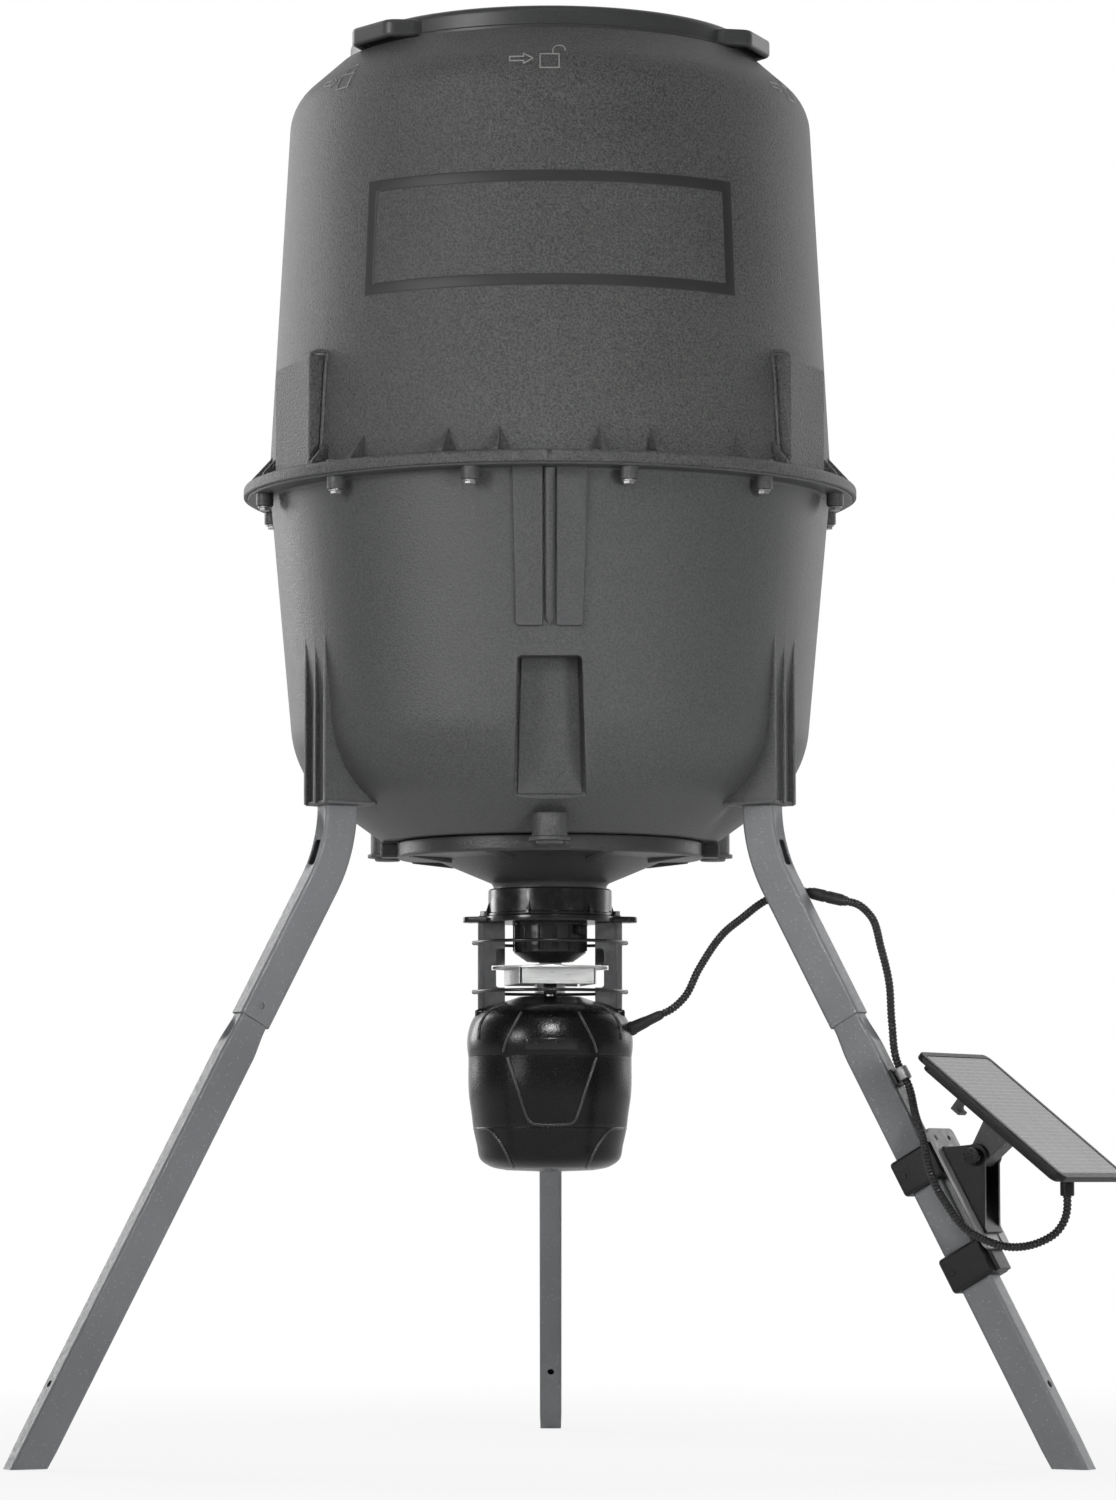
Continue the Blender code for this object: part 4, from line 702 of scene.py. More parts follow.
def smooth_profile(points, spacing):
    """A smooth run of (radius, height) points through a few given ones."""
    places, _ = smooth_route([(radius, height, 0.0) for radius, height in points], spacing)
    return [(place.x, place.y) for place in places]


def height_to_radius(profile):
    """A function that gives a wall's radius at a height."""
    ordered = sorted((height, radius) for radius, height in profile)

    def radius_at(height):
        for (low, near), (high, far) in zip(ordered, ordered[1:]):
            if low <= height <= high and high > low:
                return near + (far - near) * (height - low) / (high - low)
        return ordered[0][1] if height < ordered[0][0] else ordered[-1][1]

    return radius_at


# Stage: floor, camera and light; the camera's place comes from the photograph


def lay_floor(scene):
    shape = bmesh.new()
    bmesh.ops.create_grid(shape, x_segments=2, y_segments=2, size=14.0)
    mesh = bpy.data.meshes.new("floor")
    shape.to_mesh(mesh)
    shape.free()
    floor = bpy.data.objects.new("floor", mesh)
    floor.location = (0, 0, -0.0006)
    scene.collection.objects.link(floor)
    white = Finish("pale_floor", None)
    tone = white.mix(white.noise(2.0), (0.93, 0.93, 0.93), (0.95, 0.95, 0.95))
    white.set(tone, Roughness=0.9, Specular_IOR_Level=0.1)
    # White for the camera, with some of the lit floor and its shadow near the object
    path = white.node("ShaderNodeLightPath", {})
    glow = white.node("ShaderNodeEmission", {"Color": (1, 1, 1, 1), "Strength": 1.0})[0]
    away = white.node("ShaderNodeVectorMath", {0: white.place}, operation="LENGTH")["Value"]
    mirrored = white.math("MULTIPLY", path["Is Glossy Ray"], 0.4)
    rays = white.math("MAXIMUM", path["Is Camera Ray"], mirrored)
    share = white.math("MULTIPLY", rays, white.spread(away, 0.6, 1.7, 0.85, 1.0))
    blend = white.node("ShaderNodeMixShader", {0: share, 1: white.shader.outputs[0], 2: glow})[0]
    white.tree.links.new(blend, white.tree.nodes["Material Output"].inputs["Surface"])
    floor.data.materials.append(white.material)


def light_room(scene):
    """White all round for the camera; as light, white behind the object and dim in front of it."""
    world = bpy.data.worlds.new("studio")
    scene.world = world
    world.use_nodes = True
    tree = world.node_tree

    def node(kind, inputs, **settings):
        return add_node(tree, kind, inputs, **settings).outputs

    path = node("ShaderNodeLightPath", {})
    way = node("ShaderNodeTexCoord", {})["Generated"]
    depth = node("ShaderNodeSeparateXYZ", {"Vector": way})[1]
    ramp = {"Value": depth, "From Min": 0.0, "From Max": 0.7, "To Min": ROOM_FRONT, "To Max": 1.0}
    room = node("ShaderNodeMapRange", ramp, interpolation_type="SMOOTHSTEP")[0]
    ramp = {"Value": path["Is Glossy Ray"], "To Min": ROOM_LIGHT, "To Max": 1.0}
    level = node("ShaderNodeMapRange", ramp)[0]
    lit = node("ShaderNodeMath", {0: room, 1: level}, operation="MULTIPLY")[0]
    rays = {0: path["Is Camera Ray"], 1: path["Is Transmission Ray"]}
    seen = node("ShaderNodeMath", rays, operation="MAXIMUM")[0]
    both = node("ShaderNodeMath", {0: seen, 1: lit}, operation="MAXIMUM")[0]
    tree.links.new(both, tree.nodes["Background"].inputs["Strength"])
    tree.nodes["Background"].inputs["Color"].default_value = (1, 1, 1, 1)


def hang_lamps(scene):
    for name, place, target, size, spread, energy in LAMPS:
        lamp = bpy.data.lights.new(name, "AREA")
        lamp.shape = "RECTANGLE"
        lamp.size, lamp.size_y = size
        lamp.spread = math.radians(spread)
        lamp.energy = energy
        holder = bpy.data.objects.new(name, lamp)
        holder.location = place
        holder.rotation_euler = (Vector(target) - Vector(place)).to_track_quat("-Z", "Y").to_euler()
        holder.visible_glossy = name != "low_right"
        holder.visible_diffuse = not name.startswith("glint")
        scene.collection.objects.link(holder)


def stage():
    scene = bpy.context.scene
    scene.view_settings.view_transform = "Standard"
    camera = bpy.data.cameras.new("photo_camera")
    camera.lens = CAMERA_LENS
    camera.sensor_fit = "VERTICAL"
    camera.sensor_height = 36.0
    camera.clip_end = 60.0
    holder = bpy.data.objects.new("photo_camera", camera)
    holder.location = AXIS + CAMERA_PLACE
    holder.rotation_euler = (math.radians(90 + CAMERA_TILT), 0, 0)
    scene.collection.objects.link(holder)
    scene.camera = holder
    lay_floor(scene)
    light_room(scene)
    hang_lamps(scene)


stage()

DRUM = moulded("drum_grain", "drum_plastic", (0.070, 0.072, 0.070), 0.50, 520.0, 0.00055, 0.66)
BOWL = moulded("drum_fine_grain", "drum_plastic", (0.066, 0.067, 0.068), 0.47, 520.0, 0.00018, 0.34)
LID = moulded("drum_lid_smooth", "drum_plastic", (0.045, 0.046, 0.046), 0.40, 900.0, 0.00004)
BAND = moulded("drum_smooth_band", "drum_plastic", (0.019, 0.020, 0.019), 0.50, 900.0, 0.00004)
MARK = moulded("drum_marks", "drum_plastic", (0.24, 0.24, 0.235), 0.50, 900.0, 0.00003)
BLACK = moulded(
    "satin_black", "black_plastic", (0.004, 0.004, 0.0044), 0.22, 700.0, 0.00004, Specular_IOR_Level=0.32
)
CONE = moulded("funnel_grain", "black_plastic", (0.034, 0.034, 0.034), 0.40, 520.0, 0.00014)
# Paler than the black shell: a painted highlight along the controller's raised lines
PAINTED_HIGHLIGHT_LINES = moulded("raised_lines_painted_highlight", "black_plastic", (0.030, 0.030, 0.031), 0.32, 700.0, 0.00004)
STRAP = moulded("dark_grey_paint", "gloss_black", (0.052, 0.052, 0.054), 0.36, 200.0, 0.00004)
BRACKET = moulded(
    "bracket_black", "black_plastic", (0.006, 0.006, 0.0065), 0.40, 600.0, 0.00006, Specular_IOR_Level=0.34
)
GLOSS = moulded("gloss_black_paint", "gloss_black", (0.0075, 0.0075, 0.008), 0.20, 120.0, 0.00003)
RUBBER = moulded("rubber_black", "rubber", (0.012, 0.012, 0.013), 0.60, 800.0, 0.00006)
SHEATH = moulded("cable_sheath_black", "cable_sheath", (0.013, 0.013, 0.014), 0.45, 500.0, 0.00005)
LEG = coated("leg_coat", "leg_powder_coat", (0.175, 0.180, 0.188), (0.33, 0.33, 0.34), 0.44, 0.09)
GREY = coated("bracket_grey_coat", "bracket_grey", (0.075, 0.075, 0.078), (0.25, 0.25, 0.25), 0.48, 0.08)
ZINC = metal("zinc_plated", "zinc_plate", (0.58, 0.58, 0.57), 0.34, (300.0, 300.0, 300.0))
DULL = metal("dull_screw_steel", "zinc_plate", (0.40, 0.40, 0.40), 0.42, (300.0, 300.0, 300.0), 0.8)
BRIGHT = metal("spun_aluminium", "bright_aluminium", (0.66, 0.67, 0.66), 0.34, (60.0, 60.0, 700.0), 0.5, 0.10)
STEEL = metal("bracket_sheet", "bracket_steel", (0.34, 0.34, 0.34), 0.50, (160.0, 160.0, 160.0), 0.6)


# Cable first


def straight_end(place, heading):
    return [place + heading * run for run in (-0.0010, 0.0042, 0.008)]


def leg_point(run, outward=0.0, sideways=0.0):
    """A place by its distance down the leaning leg from the bend's corner, and out of its outer face."""
    corner = Vector((LEG_TOP_R, 0, LEG_VERTEX_Z))
    return corner + LEG_ALONG * run + LEG_ACROSS * outward + Vector((0, sideways, 0))


def leg_run(height):
    return (LEG_VERTEX_Z - height) / math.cos(LEG_LEAN)


def sleeve(name, ends, steps, node, sharp):
    """A sleeve on the cable, by shares of its length and radii."""
    near, far = ends
    places = [near + (far - near) * share for share, _ in steps]
    made = tube(places, [radius for _, radius in steps], 20)
    return piece(name, made, RUBBER, "stand", node, sharp=sharp)


def lead(name, route, body, nodes, loop=None):
    """A conduit with rounded ribs; with a loop given, its mesh is baked where it lies."""
    _, length = smooth_route(route, 0.002)
    ribs = round(length / CABLE_RIB_PITCH)
    places, length = smooth_route(route, length / (ribs * len(CABLE_RIB_SWELL)))
    radii = [CABLE_RIB_R * CABLE_RIB_SWELL[index % len(CABLE_RIB_SWELL)] for index in range(len(places))]
    made = piece(name, tube(places, radii, 14), SHEATH, body, *nodes, sharp=60)
    if loop:
        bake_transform(made)


def cable():
    gland_along, joint_along = ((end - start).normalized() for start, end in (GLAND, CONNECTOR))
    gland = sleeve("cable_strain_relief", GLAND, GLAND_STEPS, "cable_gland", 50)
    joint = sleeve("cable_joint_sleeve", CONNECTOR, JOINT_STEPS, "cable_connector", 40)
    route = [*straight_end(GLAND[1], gland_along), *LEAD_TO_LEG]
    route += reversed(straight_end(CONNECTOR[0], -joint_along))
    lead("cable_upper_lead", route, "stand", ["cable_lead_a"])

    run = leg_run(CLIP_Z)
    clip = [RIGHT_LEG @ leg_point(run + shift, CLIP_OUT, CLIP_SIDEWAYS) for shift in (-0.0095, 0.0, 0.0095)]
    heading = (Vector(LOOP_TO_PANEL[0]) - Vector(LEAD_PAST_BRACKET[-1])).normalized()
    boss = RIGHT_LEG @ Vector((*PANEL_BOSS, PANEL_BOSS_Z[0]))
    route = [*straight_end(CONNECTOR[1], joint_along), *LEAD_DOWN_LEG, *clip, *LEAD_PAST_BRACKET]
    route += [LOOP_START - heading * 0.008, LOOP_START, LOOP_START + heading * 0.008, *LOOP_TO_PANEL]
    route += reversed(straight_end(boss, Vector((0, 0, -1))))
    lead("cable_lower_lead", route, None, ["cable_lead_b", "cable_loop"], (LOOP_START, boss))


cable()


# Hopper


def upper_wall():
    shoulder = fillet(LAND, SHOULDER, (UPPER_BASE_R, FLANGE_TOP), 0.050, 14)
    return [LAND, *shoulder, (UPPER_BASE_R, FLANGE_TOP)]


def lower_wall():
    top = (LOWER_TOP_R, LOWER_FLANGE_BOTTOM)
    return [top, *fillet(top, KNEE, BOTTOM, KNEE_FILLET, 16), BOTTOM]


UPPER_AT = height_to_radius(upper_wall())
LOWER_AT = height_to_radius(lower_wall())


def on_drum(x, z, lift=0.0, turn=0.0, radius_at=UPPER_AT):
    """A place on a turned wall's front by its sideways distance and height."""
    radius = radius_at(z)
    azimuth = FRONT + turn + math.degrees(math.asin(max(-1.0, min(1.0, x / radius))))
    return polar(radius + lift, azimuth, z)


def side_pad(azimuth):
    """A pad over a leg, and the bead on the edge that is nearer to the front; the top falls away from it."""
    near = -1 if azimuth == LEGS["right"] else 1
    points = []
    for radius in (UPPER_BASE_R - 0.014, SIDE_PAD_R):
        for half, top in ((near * 0.0335, SIDE_PAD_TOP), (near * -0.036, SIDE_PAD_TOP - 0.0065)):
            points += [(radius, half, FLANGE_TOP - 0.003), (radius, half, top)]
    edge = []
    for index in range(9):
        height = FLANGE_TOP - 0.001 + (SIDE_PAD_TOP - FLANGE_TOP + 0.0025) * index / 8
        edge.append((math.sqrt(UPPER_AT(height) ** 2 - 0.0366**2) + 0.0006, near * 0.0366, height))
    edge += [(0.2620, near * 0.0352, SIDE_PAD_TOP + 0.0028), (0.2700, near * 0.0320, SIDE_PAD_TOP - 0.0008)]
    bead = tube(smooth_route(edge, 0.002)[0], 0.0019, 12)
    bead.data.transform(spin(azimuth))
    return [hull(points, spin(azimuth), 0.0024), bead]


def drum_upper():
    wall = upper_wall()
    inner = inset(wall, WALL)
    lip_r = LOWER_FLANGE_R + 0.0006
    neck_inner = NECK_R - WALL
    profile = [
        (NECK_R, NECK_TOP, 0.0012), (NECK_R, LAND[1]), *wall[:-1], (UPPER_BASE_R, FLANGE_TOP, 0.004),
        (FLANGE_R, FLANGE_TOP, 0.0045), (FLANGE_R, LIP_BOTTOM, 0.0015), (lip_r, LIP_BOTTOM),
        (lip_r, SPLIT + GAP), (inner[-1][0] - 0.0005, SPLIT + GAP), *reversed(inner[1:-1]),
        (inner[0][0], LAND[1] - WALL), (neck_inner, LAND[1] - WALL), (neck_inner, NECK_TOP, 0.0012),
    ]
    shell = turned(rounded(profile))
    gusset = [
        (UPPER_BASE_R - 0.004, 0.0024, FLANGE_TOP - 0.002),
        (FLANGE_R - 0.0055, 0.0022, FLANGE_TOP - 0.002),
        (FLANGE_R - 0.0055, 0.0019, FLANGE_TOP + 0.0024),
        (UPPER_BASE_R - 0.004, 0.0007, FLANGE_TOP + 0.0265),
    ]
    added = []
    for azimuth in SCREW_TURNS:
        ends = [polar(SCREW_CIRCLE, azimuth, FLANGE_TOP + shift) for shift in (-0.004, 0.0018)]
        added.append(rod(*ends, BOSS_R + 0.0012, 28, 0.0012))
        added += [wedge(gusset, spin(azimuth + side), 0.0005) for side in (-5.2, 5.2)]
    for azimuth in LEGS.values():
        added += side_pad(azimuth)
    for azimuth in PADS:
        low = (NECK_R - 0.001, -TAB_HALF, 1.3012)
        added.append(block(low, (NECK_R + 0.007, TAB_HALF, 1.3052), 0.001, 2, spin(azimuth)))
    notch = block((FLANGE_R - 0.004, -0.0022, 0.8905), (FLANGE_R + 0.01, 0.0022, 0.8965), place=spin(FRONT))
    piece("drum_upper_shell", combine(shell, added, [notch]), DRUM, "stand", "hopper_upper")


def front_frame():
    """The plain raised frame on the drum's front."""
    low, high = BADGE_Z
    radius = UPPER_AT((low + high) / 2)
    angle = math.degrees(math.asin(BADGE_HALF / radius))
    band = math.degrees(BADGE_BAND / radius)
    edge = BADGE_BAND
    columns = [-angle, -angle + band * 0.12, -angle + band * 0.88]
    width = (angle - band) * 2
    columns += [-angle + band + width * index / BADGE_CELLS for index in range(BADGE_CELLS + 1)]
    columns += [angle - band * 0.88, angle - band * 0.12, angle]
    rows = [low, low + edge * 0.12, low + edge * 0.88, low + edge]
    rows += [high - edge, high - edge * 0.88, high - edge * 0.12, high]

    def keep(i, j):
        return i < 3 or i > len(columns) - 5 or j < 3 or j > 3

    def lay(column, row, lift):
        outer = column in (columns[0], columns[-1]) or row in (rows[0], rows[-1])
        across = abs(column) < angle - band * 0.9 and rows[3] - 1e-9 <= row <= rows[4] + 1e-9
        if lift > 0 and (outer or across):
            lift *= 0.35
        return polar(UPPER_AT(row) + lift, FRONT + column, row)

    piece("drum_front_frame", wrapped(columns, rows, lay, -0.0012, 0.0009, keep), BAND, "stand")


def marks():
    """Generic relief marks under the lid: an arrow and a padlock, open at the front and shut at the sides."""
    made = []

    def stroke(points, turn):
        places, _ = smooth_route([on_drum(x, z, 0.0, turn) for x, z in points], 0.0006)
        made.append(tube(places, 0.0007, 8))

    def corners(points, turn):
        for near, far in zip(points, points[1:]):
            stroke([Vector(near).lerp(Vector(far), step / 6) for step in range(7)], turn)

    arrow = [(-0.0360, 1.2587), (-0.0235, 1.2587), (-0.0235, 1.2617), (-0.0150, 1.2565)]
    arrow += [(x, 2.5130 - z) for x, z in reversed(arrow[:-1])]
    case = [(-0.0085, 1.2470), (-0.0085, 1.2610), (0.0085, 1.2610), (0.0085, 1.2470)]
    for turn, shut in ((0.0, False), (-52.0, True), (68.0, True)):
        corners([*arrow, arrow[0]], turn)
        corners([*case, case[0]], turn)
        shift = 0.0 if shut else 0.0085
        loop = [(shift - 0.0055, 1.2615), (shift - 0.0055, 1.2655)]
        for angle in (2.6, 2.1, 1.57, 1.0, 0.5):
            loop.append((shift + 0.0055 * math.cos(angle), 1.2660 + 0.0048 * math.sin(angle)))
        loop += [(shift + 0.0055, 1.2655), (shift + 0.0055, 1.2615 if shut else 1.2645)]
        stroke(loop, turn)
    piece("drum_marks", gather(made), MARK, "stand", sharp=60)


def leg_socket(azimuth):
    """Shapes to add for one leg socket, and the pocket to cut."""
    place = spin(azimuth)
    half_r = LEG_WIDE / 2
    half_t = LEG_THICK / 2
    low = (LEG_TOP_R - half_r - 0.0052, -half_t - 0.0052, SOCKET_BOTTOM)
    high = (LEG_TOP_R + half_r + 0.0032, half_t + 0.0052, LEG_TOP_Z + 0.0052)
    shapes = [block(low, high, 0.0025, 3, place)]
    low = (0.1945, -0.022, SOCKET_BOTTOM + 0.0007)
    shapes.append(block(low, (SOCKET_FIN_R - 0.002, 0.022, SOCKET_BOTTOM + 0.0045), 0.0012, 2, place))
    web = [
        (SOCKET_FIN_R, SOCKET_BOTTOM + 0.0015), (SOCKET_FIN_R, SOCKET_FIN_TOP),
        (SOCKET_FIN_R - 0.0030, SOCKET_FIN_TOP + 0.0150), (LOWER_AT(0.7) - 0.0030, 0.7),
        *inset(lower_wall(), 0.0030)[1:-1:4], (0.1965, 0.5982), (0.1935, SOCKET_BOTTOM + 0.0015),
    ]
    for offset in (-0.019, 0.0, 0.019):
        shapes.append(prism(web, offset - 0.0021, offset + 0.0021, place, 0.0012, 3))
    low = (LEG_TOP_R - half_r - GAP, -half_t - GAP, SOCKET_BOTTOM - 0.02)
    pocket = block(low, (LEG_TOP_R + half_r + GAP, half_t + GAP, LEG_TOP_Z + 0.001), 0.002, 2, place)
    return shapes, pocket


def pad_half(side, turn):
    """One half of a front pad, with rounded lower corners and a rim that falls away."""
    low, high = FRONT_PAD_Z
    columns = [0.0, 0.025, 0.06, 0.12, 0.25, 0.4, 0.55, 0.7, 0.82, 0.88, 0.93, 0.975, 1.0]
    rows = [low, low + 0.0008, *[low + (high - low) * index / 24 for index in range(1, 25)]]
    outer_r = 0.0036
    inner_r = 0.0012

    def lay(column, row, lift):
        wide = 0.0236 + 0.0038 * ((row - low) / (high - low))
        out = max(0.0, column * wide - (wide - outer_r))
        into = max(0.0, inner_r - column * wide)
        rise = outer_r - math.sqrt(outer_r**2 - min(out, outer_r) ** 2)
        rise = rise + inner_r - math.sqrt(inner_r**2 - into**2)
        z = row + rise * max(0.0, 1 - (row - low) / 0.012)
        if lift > 0 and (column < 0.01 or column > 0.99 or row == low):
            lift *= 0.4
        return on_drum(side * (0.0060 + column * wide), z, lift, turn, LOWER_AT)

    return wrapped(columns, rows, lay, -0.0030, 0.0038)


def front_pad(azimuth):
    """Shapes to add for a pad, its rib, recess wall and screw boss; the recess to cut; and its panel."""
    place = spin(azimuth)
    low, high = FRONT_PAD_Z
    turn = azimuth - FRONT
    shapes = [pad_half(side, turn) for side in (-1, 1)]
    rib = []
    radii = []
    for index in range(31):
        share = index / 30
        tip = math.sqrt(max(0.02, 1 - max(0.0, 1 - share * 15) ** 2))
        rib.append(on_drum(0.0, low + 0.001 + (high - low - 0.004) * share, 0.0006, turn, LOWER_AT))
        radii.append((0.0043 + 0.0007 * share) * tip)
    shapes.append(tube(rib, radii, 20))
    # The recess has a panel at its back with a groove down each side
    top, middle, bottom = RECESS_BACK
    wall = [
        (top[0] - 0.007, RECESS_TOP + WALL), (LOWER_AT(RECESS_TOP + WALL) - 0.0030, RECESS_TOP + WALL),
        (LOWER_AT(RECESS_TOP) - 0.0030, RECESS_TOP - 0.001), (LOWER_AT(0.7) - 0.0042, 0.7),
        *inset(lower_wall(), 0.0042)[1:-1:4], (bottom[0] - 0.004, bottom[1] - 0.0005),
        (bottom[0] - 0.014, bottom[1] - 0.0065), (middle[0] - 0.007, middle[1] + 0.001),
    ]
    deep = 0.0038
    hollow = [(top[0] - deep, RECESS_TOP), (0.29, RECESS_TOP), (0.29, 0.58), (bottom[0] - 0.006, 0.58)]
    hollow += [(bottom[0] - 0.002, bottom[1]), (middle[0] - deep, middle[1])]
    panel = [(top[0], RECESS_TOP + 0.0008), middle, bottom, (bottom[0] - 0.006, bottom[1] - 0.003)]
    panel += [(middle[0] - 0.005, middle[1]), (top[0] - 0.005, RECESS_TOP + 0.0008)]

    def is_corner(edge):
        first, second = (vert.co for vert in edge.verts)
        return min(first.y, second.y) > RECESS_TOP - 1e-6 and abs(first.x - second.x) > 0.01

    recess = prism(hollow, -RECESS_HALF, RECESS_HALF, bevel=0.0045, segments=5, pick=is_corner)
    backing = prism(wall, -RECESS_HALF - WALL, RECESS_HALF + WALL)
    panel = prism(panel, -RECESS_PANEL_HALF, RECESS_PANEL_HALF, bevel=0.0007)
    for made in (recess, backing, panel):
        # The opening widens towards its foot
        for vert in made.data.vertices:
            vert.co.y *= 1 + 0.135 * (RECESS_TOP - vert.co.z) / 0.12
        made.data.transform(place)
    profile = [(0.0, 0.556), (0.0188, 0.556, 0.0006), (0.0188, 0.5592, 0.0006), (0.0160, 0.5600)]
    profile += [(0.0160, 0.5810, 0.0012), (0.0, 0.5810)]
    boss = turned(rounded(profile, 4)[::-1], 40)
    boss.data.transform(place @ Matrix.Translation((FRONT_BOSS_CIRCLE, 0, 0)))
    return [*shapes, backing, boss], recess, panel


def drum_lower():
    wall = lower_wall()
    inner = inset(wall, WALL)
    profile = [
        (LOWER_FLANGE_R, SPLIT), (LOWER_FLANGE_R, LOWER_FLANGE_BOTTOM, 0.0015),
        (LOWER_TOP_R, LOWER_FLANGE_BOTTOM, 0.003), *wall[1:-1], (*BOTTOM, 0.006), (BOTTOM_HOLE_R, BOTTOM[1]),
        (BOTTOM_HOLE_R, BOTTOM[1] + WALL), (inner[-1][0] - 0.0005, BOTTOM[1] + WALL), *reversed(inner[1:-1]),
        (inner[0][0], SPLIT),
    ]
    shell = turned(rounded(profile))
    added = []
    cutters = []
    for azimuth in SCREW_TURNS:
        ends = [polar(SCREW_CIRCLE, azimuth, height) for height in (BOSS_BOTTOM, SPLIT - 0.002)]
        added.append(rod(*ends, BOSS_R, 28, 0.001))
    for azimuth in LEGS.values():
        shapes, pocket = leg_socket(azimuth)
        added += shapes
        cutters.append(pocket)
    panels = []
    for number, azimuth in enumerate(PADS, 1):
        shapes, recess, panel = front_pad(azimuth)
        added += shapes
        cutters.append(recess)
        panels.append(panel)
        profile = rounded([(0.0, 0.5530), (0.0115, 0.5530, 0.0012), (0.0125, 0.5557), (0.0, 0.5557)], 4)
        head = turned(profile[::-1], 36)
        head.data.transform(spin(azimuth) @ Matrix.Translation((FRONT_BOSS_CIRCLE, 0, 0)))
        piece(f"boss_screw_{number}", head, GREY, "stand")
    combine(shell, added, cutters)
    piece("drum_lower_shell", combine(shell, panels), BOWL, "stand", "hopper_lower")


def flange_screws():
    top = BOSS_BOTTOM - GAP
    for number, azimuth in enumerate(SCREW_TURNS, 1):
        screw = rod((0, 0, top - 0.004), (0, 0, top - 0.0008), 0.0052, 6, 0.0005)
        combine(screw, [rod((0, 0, top - 0.0012), (0, 0, top), 0.0065, 28, 0.0003)])
        screw.data.transform(Matrix.Translation(polar(SCREW_CIRCLE, azimuth, 0.0)))
        piece(f"flange_screw_head_{number:02d}", screw, DULL, "stand", f"flange_screw_{number:02d}")


def lid():
    low, top = LID_Z
    profile = [
        (0.0, top - 0.0024), (0.060, top - 0.0024), (0.064, top - 0.0008, 0.002),
        (0.072, top - 0.0008, 0.002), (0.076, top - 0.0024), (0.150, top - 0.0024), (0.158, top, 0.004),
        (LID_R, top, 0.0065), (LID_R, low + 0.0052), (LID_R + 0.0012, low + 0.0040, 0.001),
        (LID_R + 0.0012, low, 0.001), (LID_R - 0.0036, low), (LID_R - 0.0036, top - 0.0058),
        (0.0, top - 0.0058),
    ]
    cap = turned(rounded(profile, 6))
    half = [(0.2110, -0.0290, 0.014), (0.1915, -0.0420, 0.012), (0.180, -0.0440)]
    ear = rounded([*half[::-1], *[(point[0], -point[1], *point[2:]) for point in half]], 7)
    added = []
    cutters = []
    for azimuth in EARS:
        place = spin(azimuth)
        added.append(plate(ear, *EAR_Z, place, 0.0036, 4))
        cutters.append(block((LID_R + 0.0030, -0.027, 1.2880), (0.2060, 0.027, 1.3055), 0.003, 3, place))
    for azimuth in PADS:
        corners = [(NECK_R + 0.0025, -TAB_HALF, 1.2966), (LID_R - 0.002, TAB_HALF, 1.3006)]
        added.append(block(*corners, 0.0008, 2, spin(azimuth + LID_TAB_TURN)))
    piece("lid_cap", combine(cap, added, cutters), LID, "lid", "lid")


def outlet_funnel():
    profile = [
        (FUNNEL_R, 0.565, 0.002), (FUNNEL_R, 0.5497, 0.003), (0.105, 0.5482, 0.004), (0.0525, 0.5262, 0.006),
        (0.0525, 0.504, 0.001), (0.0490, 0.504), (0.0490, 0.5287, 0.006), (0.102, 0.5525, 0.004),
        (0.118, 0.565),
    ]
    added = []
    for side in (-1, 1):
        root = (side * (FUNNEL_R - 0.004), -0.009, 0.551)
        added.append(block(root, (side * 0.1575, 0.009, 0.5645), 0.002, 3))
    ramp = [(0.1385, 0.551), (0.1385, 0.5485), (0.112, 0.5455), (0.100, 0.5435), (0.100, 0.550)]
    ramp = [(radius, 0.006, height) for radius, height in ramp]
    added += [wedge(ramp, spin(FRONT + 22.5 + 45.0 * index), 0.001) for index in range(8)]
    piece("outlet_funnel_disc", combine(turned(rounded(profile)), added), CONE, "stand", "outlet_funnel")


drum_upper()
front_frame()
marks()
drum_lower()
flange_screws()
lid()
outlet_funnel()


# Legs


def leg_stations():
    """Places, outward directions and shares of the bend along an upper leg's centre line."""
    tangent = LEG_BEND_R * math.tan(LEG_LEAN / 2)
    centre = Vector((LEG_TOP_R + LEG_BEND_R, 0, LEG_VERTEX_Z + tangent))
    stations = [(Vector((LEG_TOP_R, 0, LEG_TOP_Z)), Vector((1, 0, 0)), 0.0)]
    for index in range(BEND_STEPS + 1):
        share = index / BEND_STEPS
        lean = LEG_LEAN * share
        across = Vector((math.cos(lean), 0, math.sin(lean)))
        stations.append((centre - across * LEG_BEND_R, across, share))
    for run in (0.10, 0.14, UPPER_LEG_RUN - 0.0008, UPPER_LEG_RUN):
        stations.append((leg_point(run), LEG_ACROSS, 1.0))
    return stations


def tube_ring(place, across, half_wide, half_thick, corner, crease):
    """A rounded rectangle of points round the leg's centre line; crease dents the outer face."""
    ring = []
    for sign_wide, sign_thick, start in ((1, 1, 0), (-1, 1, 90), (-1, -1, 180), (1, -1, 270)):
        for step in range(6):
            angle = math.radians(start + 18 * step)
            wide = sign_wide * (half_wide - corner) + corner * math.cos(angle)
            ring.append((wide, sign_thick * (half_thick - corner) + corner * math.sin(angle)))
    for share in (-0.62, -0.42, -0.2, 0.0, 0.2, 0.42, 0.62):
        dent = crease * math.cos(share * math.pi / 1.5) ** 2
        ring.append((half_wide - dent, half_thick * share))
    return [place + across * wide + Vector((0, 1, 0)) * thick for wide, thick in ring]


def hollow_leg(sections, place):
    outside = []
    inside = []
    for here, across, half_wide, half_thick, crease in sections:
        outside.append(tube_ring(here, across, half_wide, half_thick, LEG_CORNER_R, crease))
        inner = (half_wide - LEG_WALL, half_thick - LEG_WALL)
        inside.append(tube_ring(here, across, *inner, LEG_INNER_CORNER_R, crease))
    return loft(outside + inside[::-1], place=place)


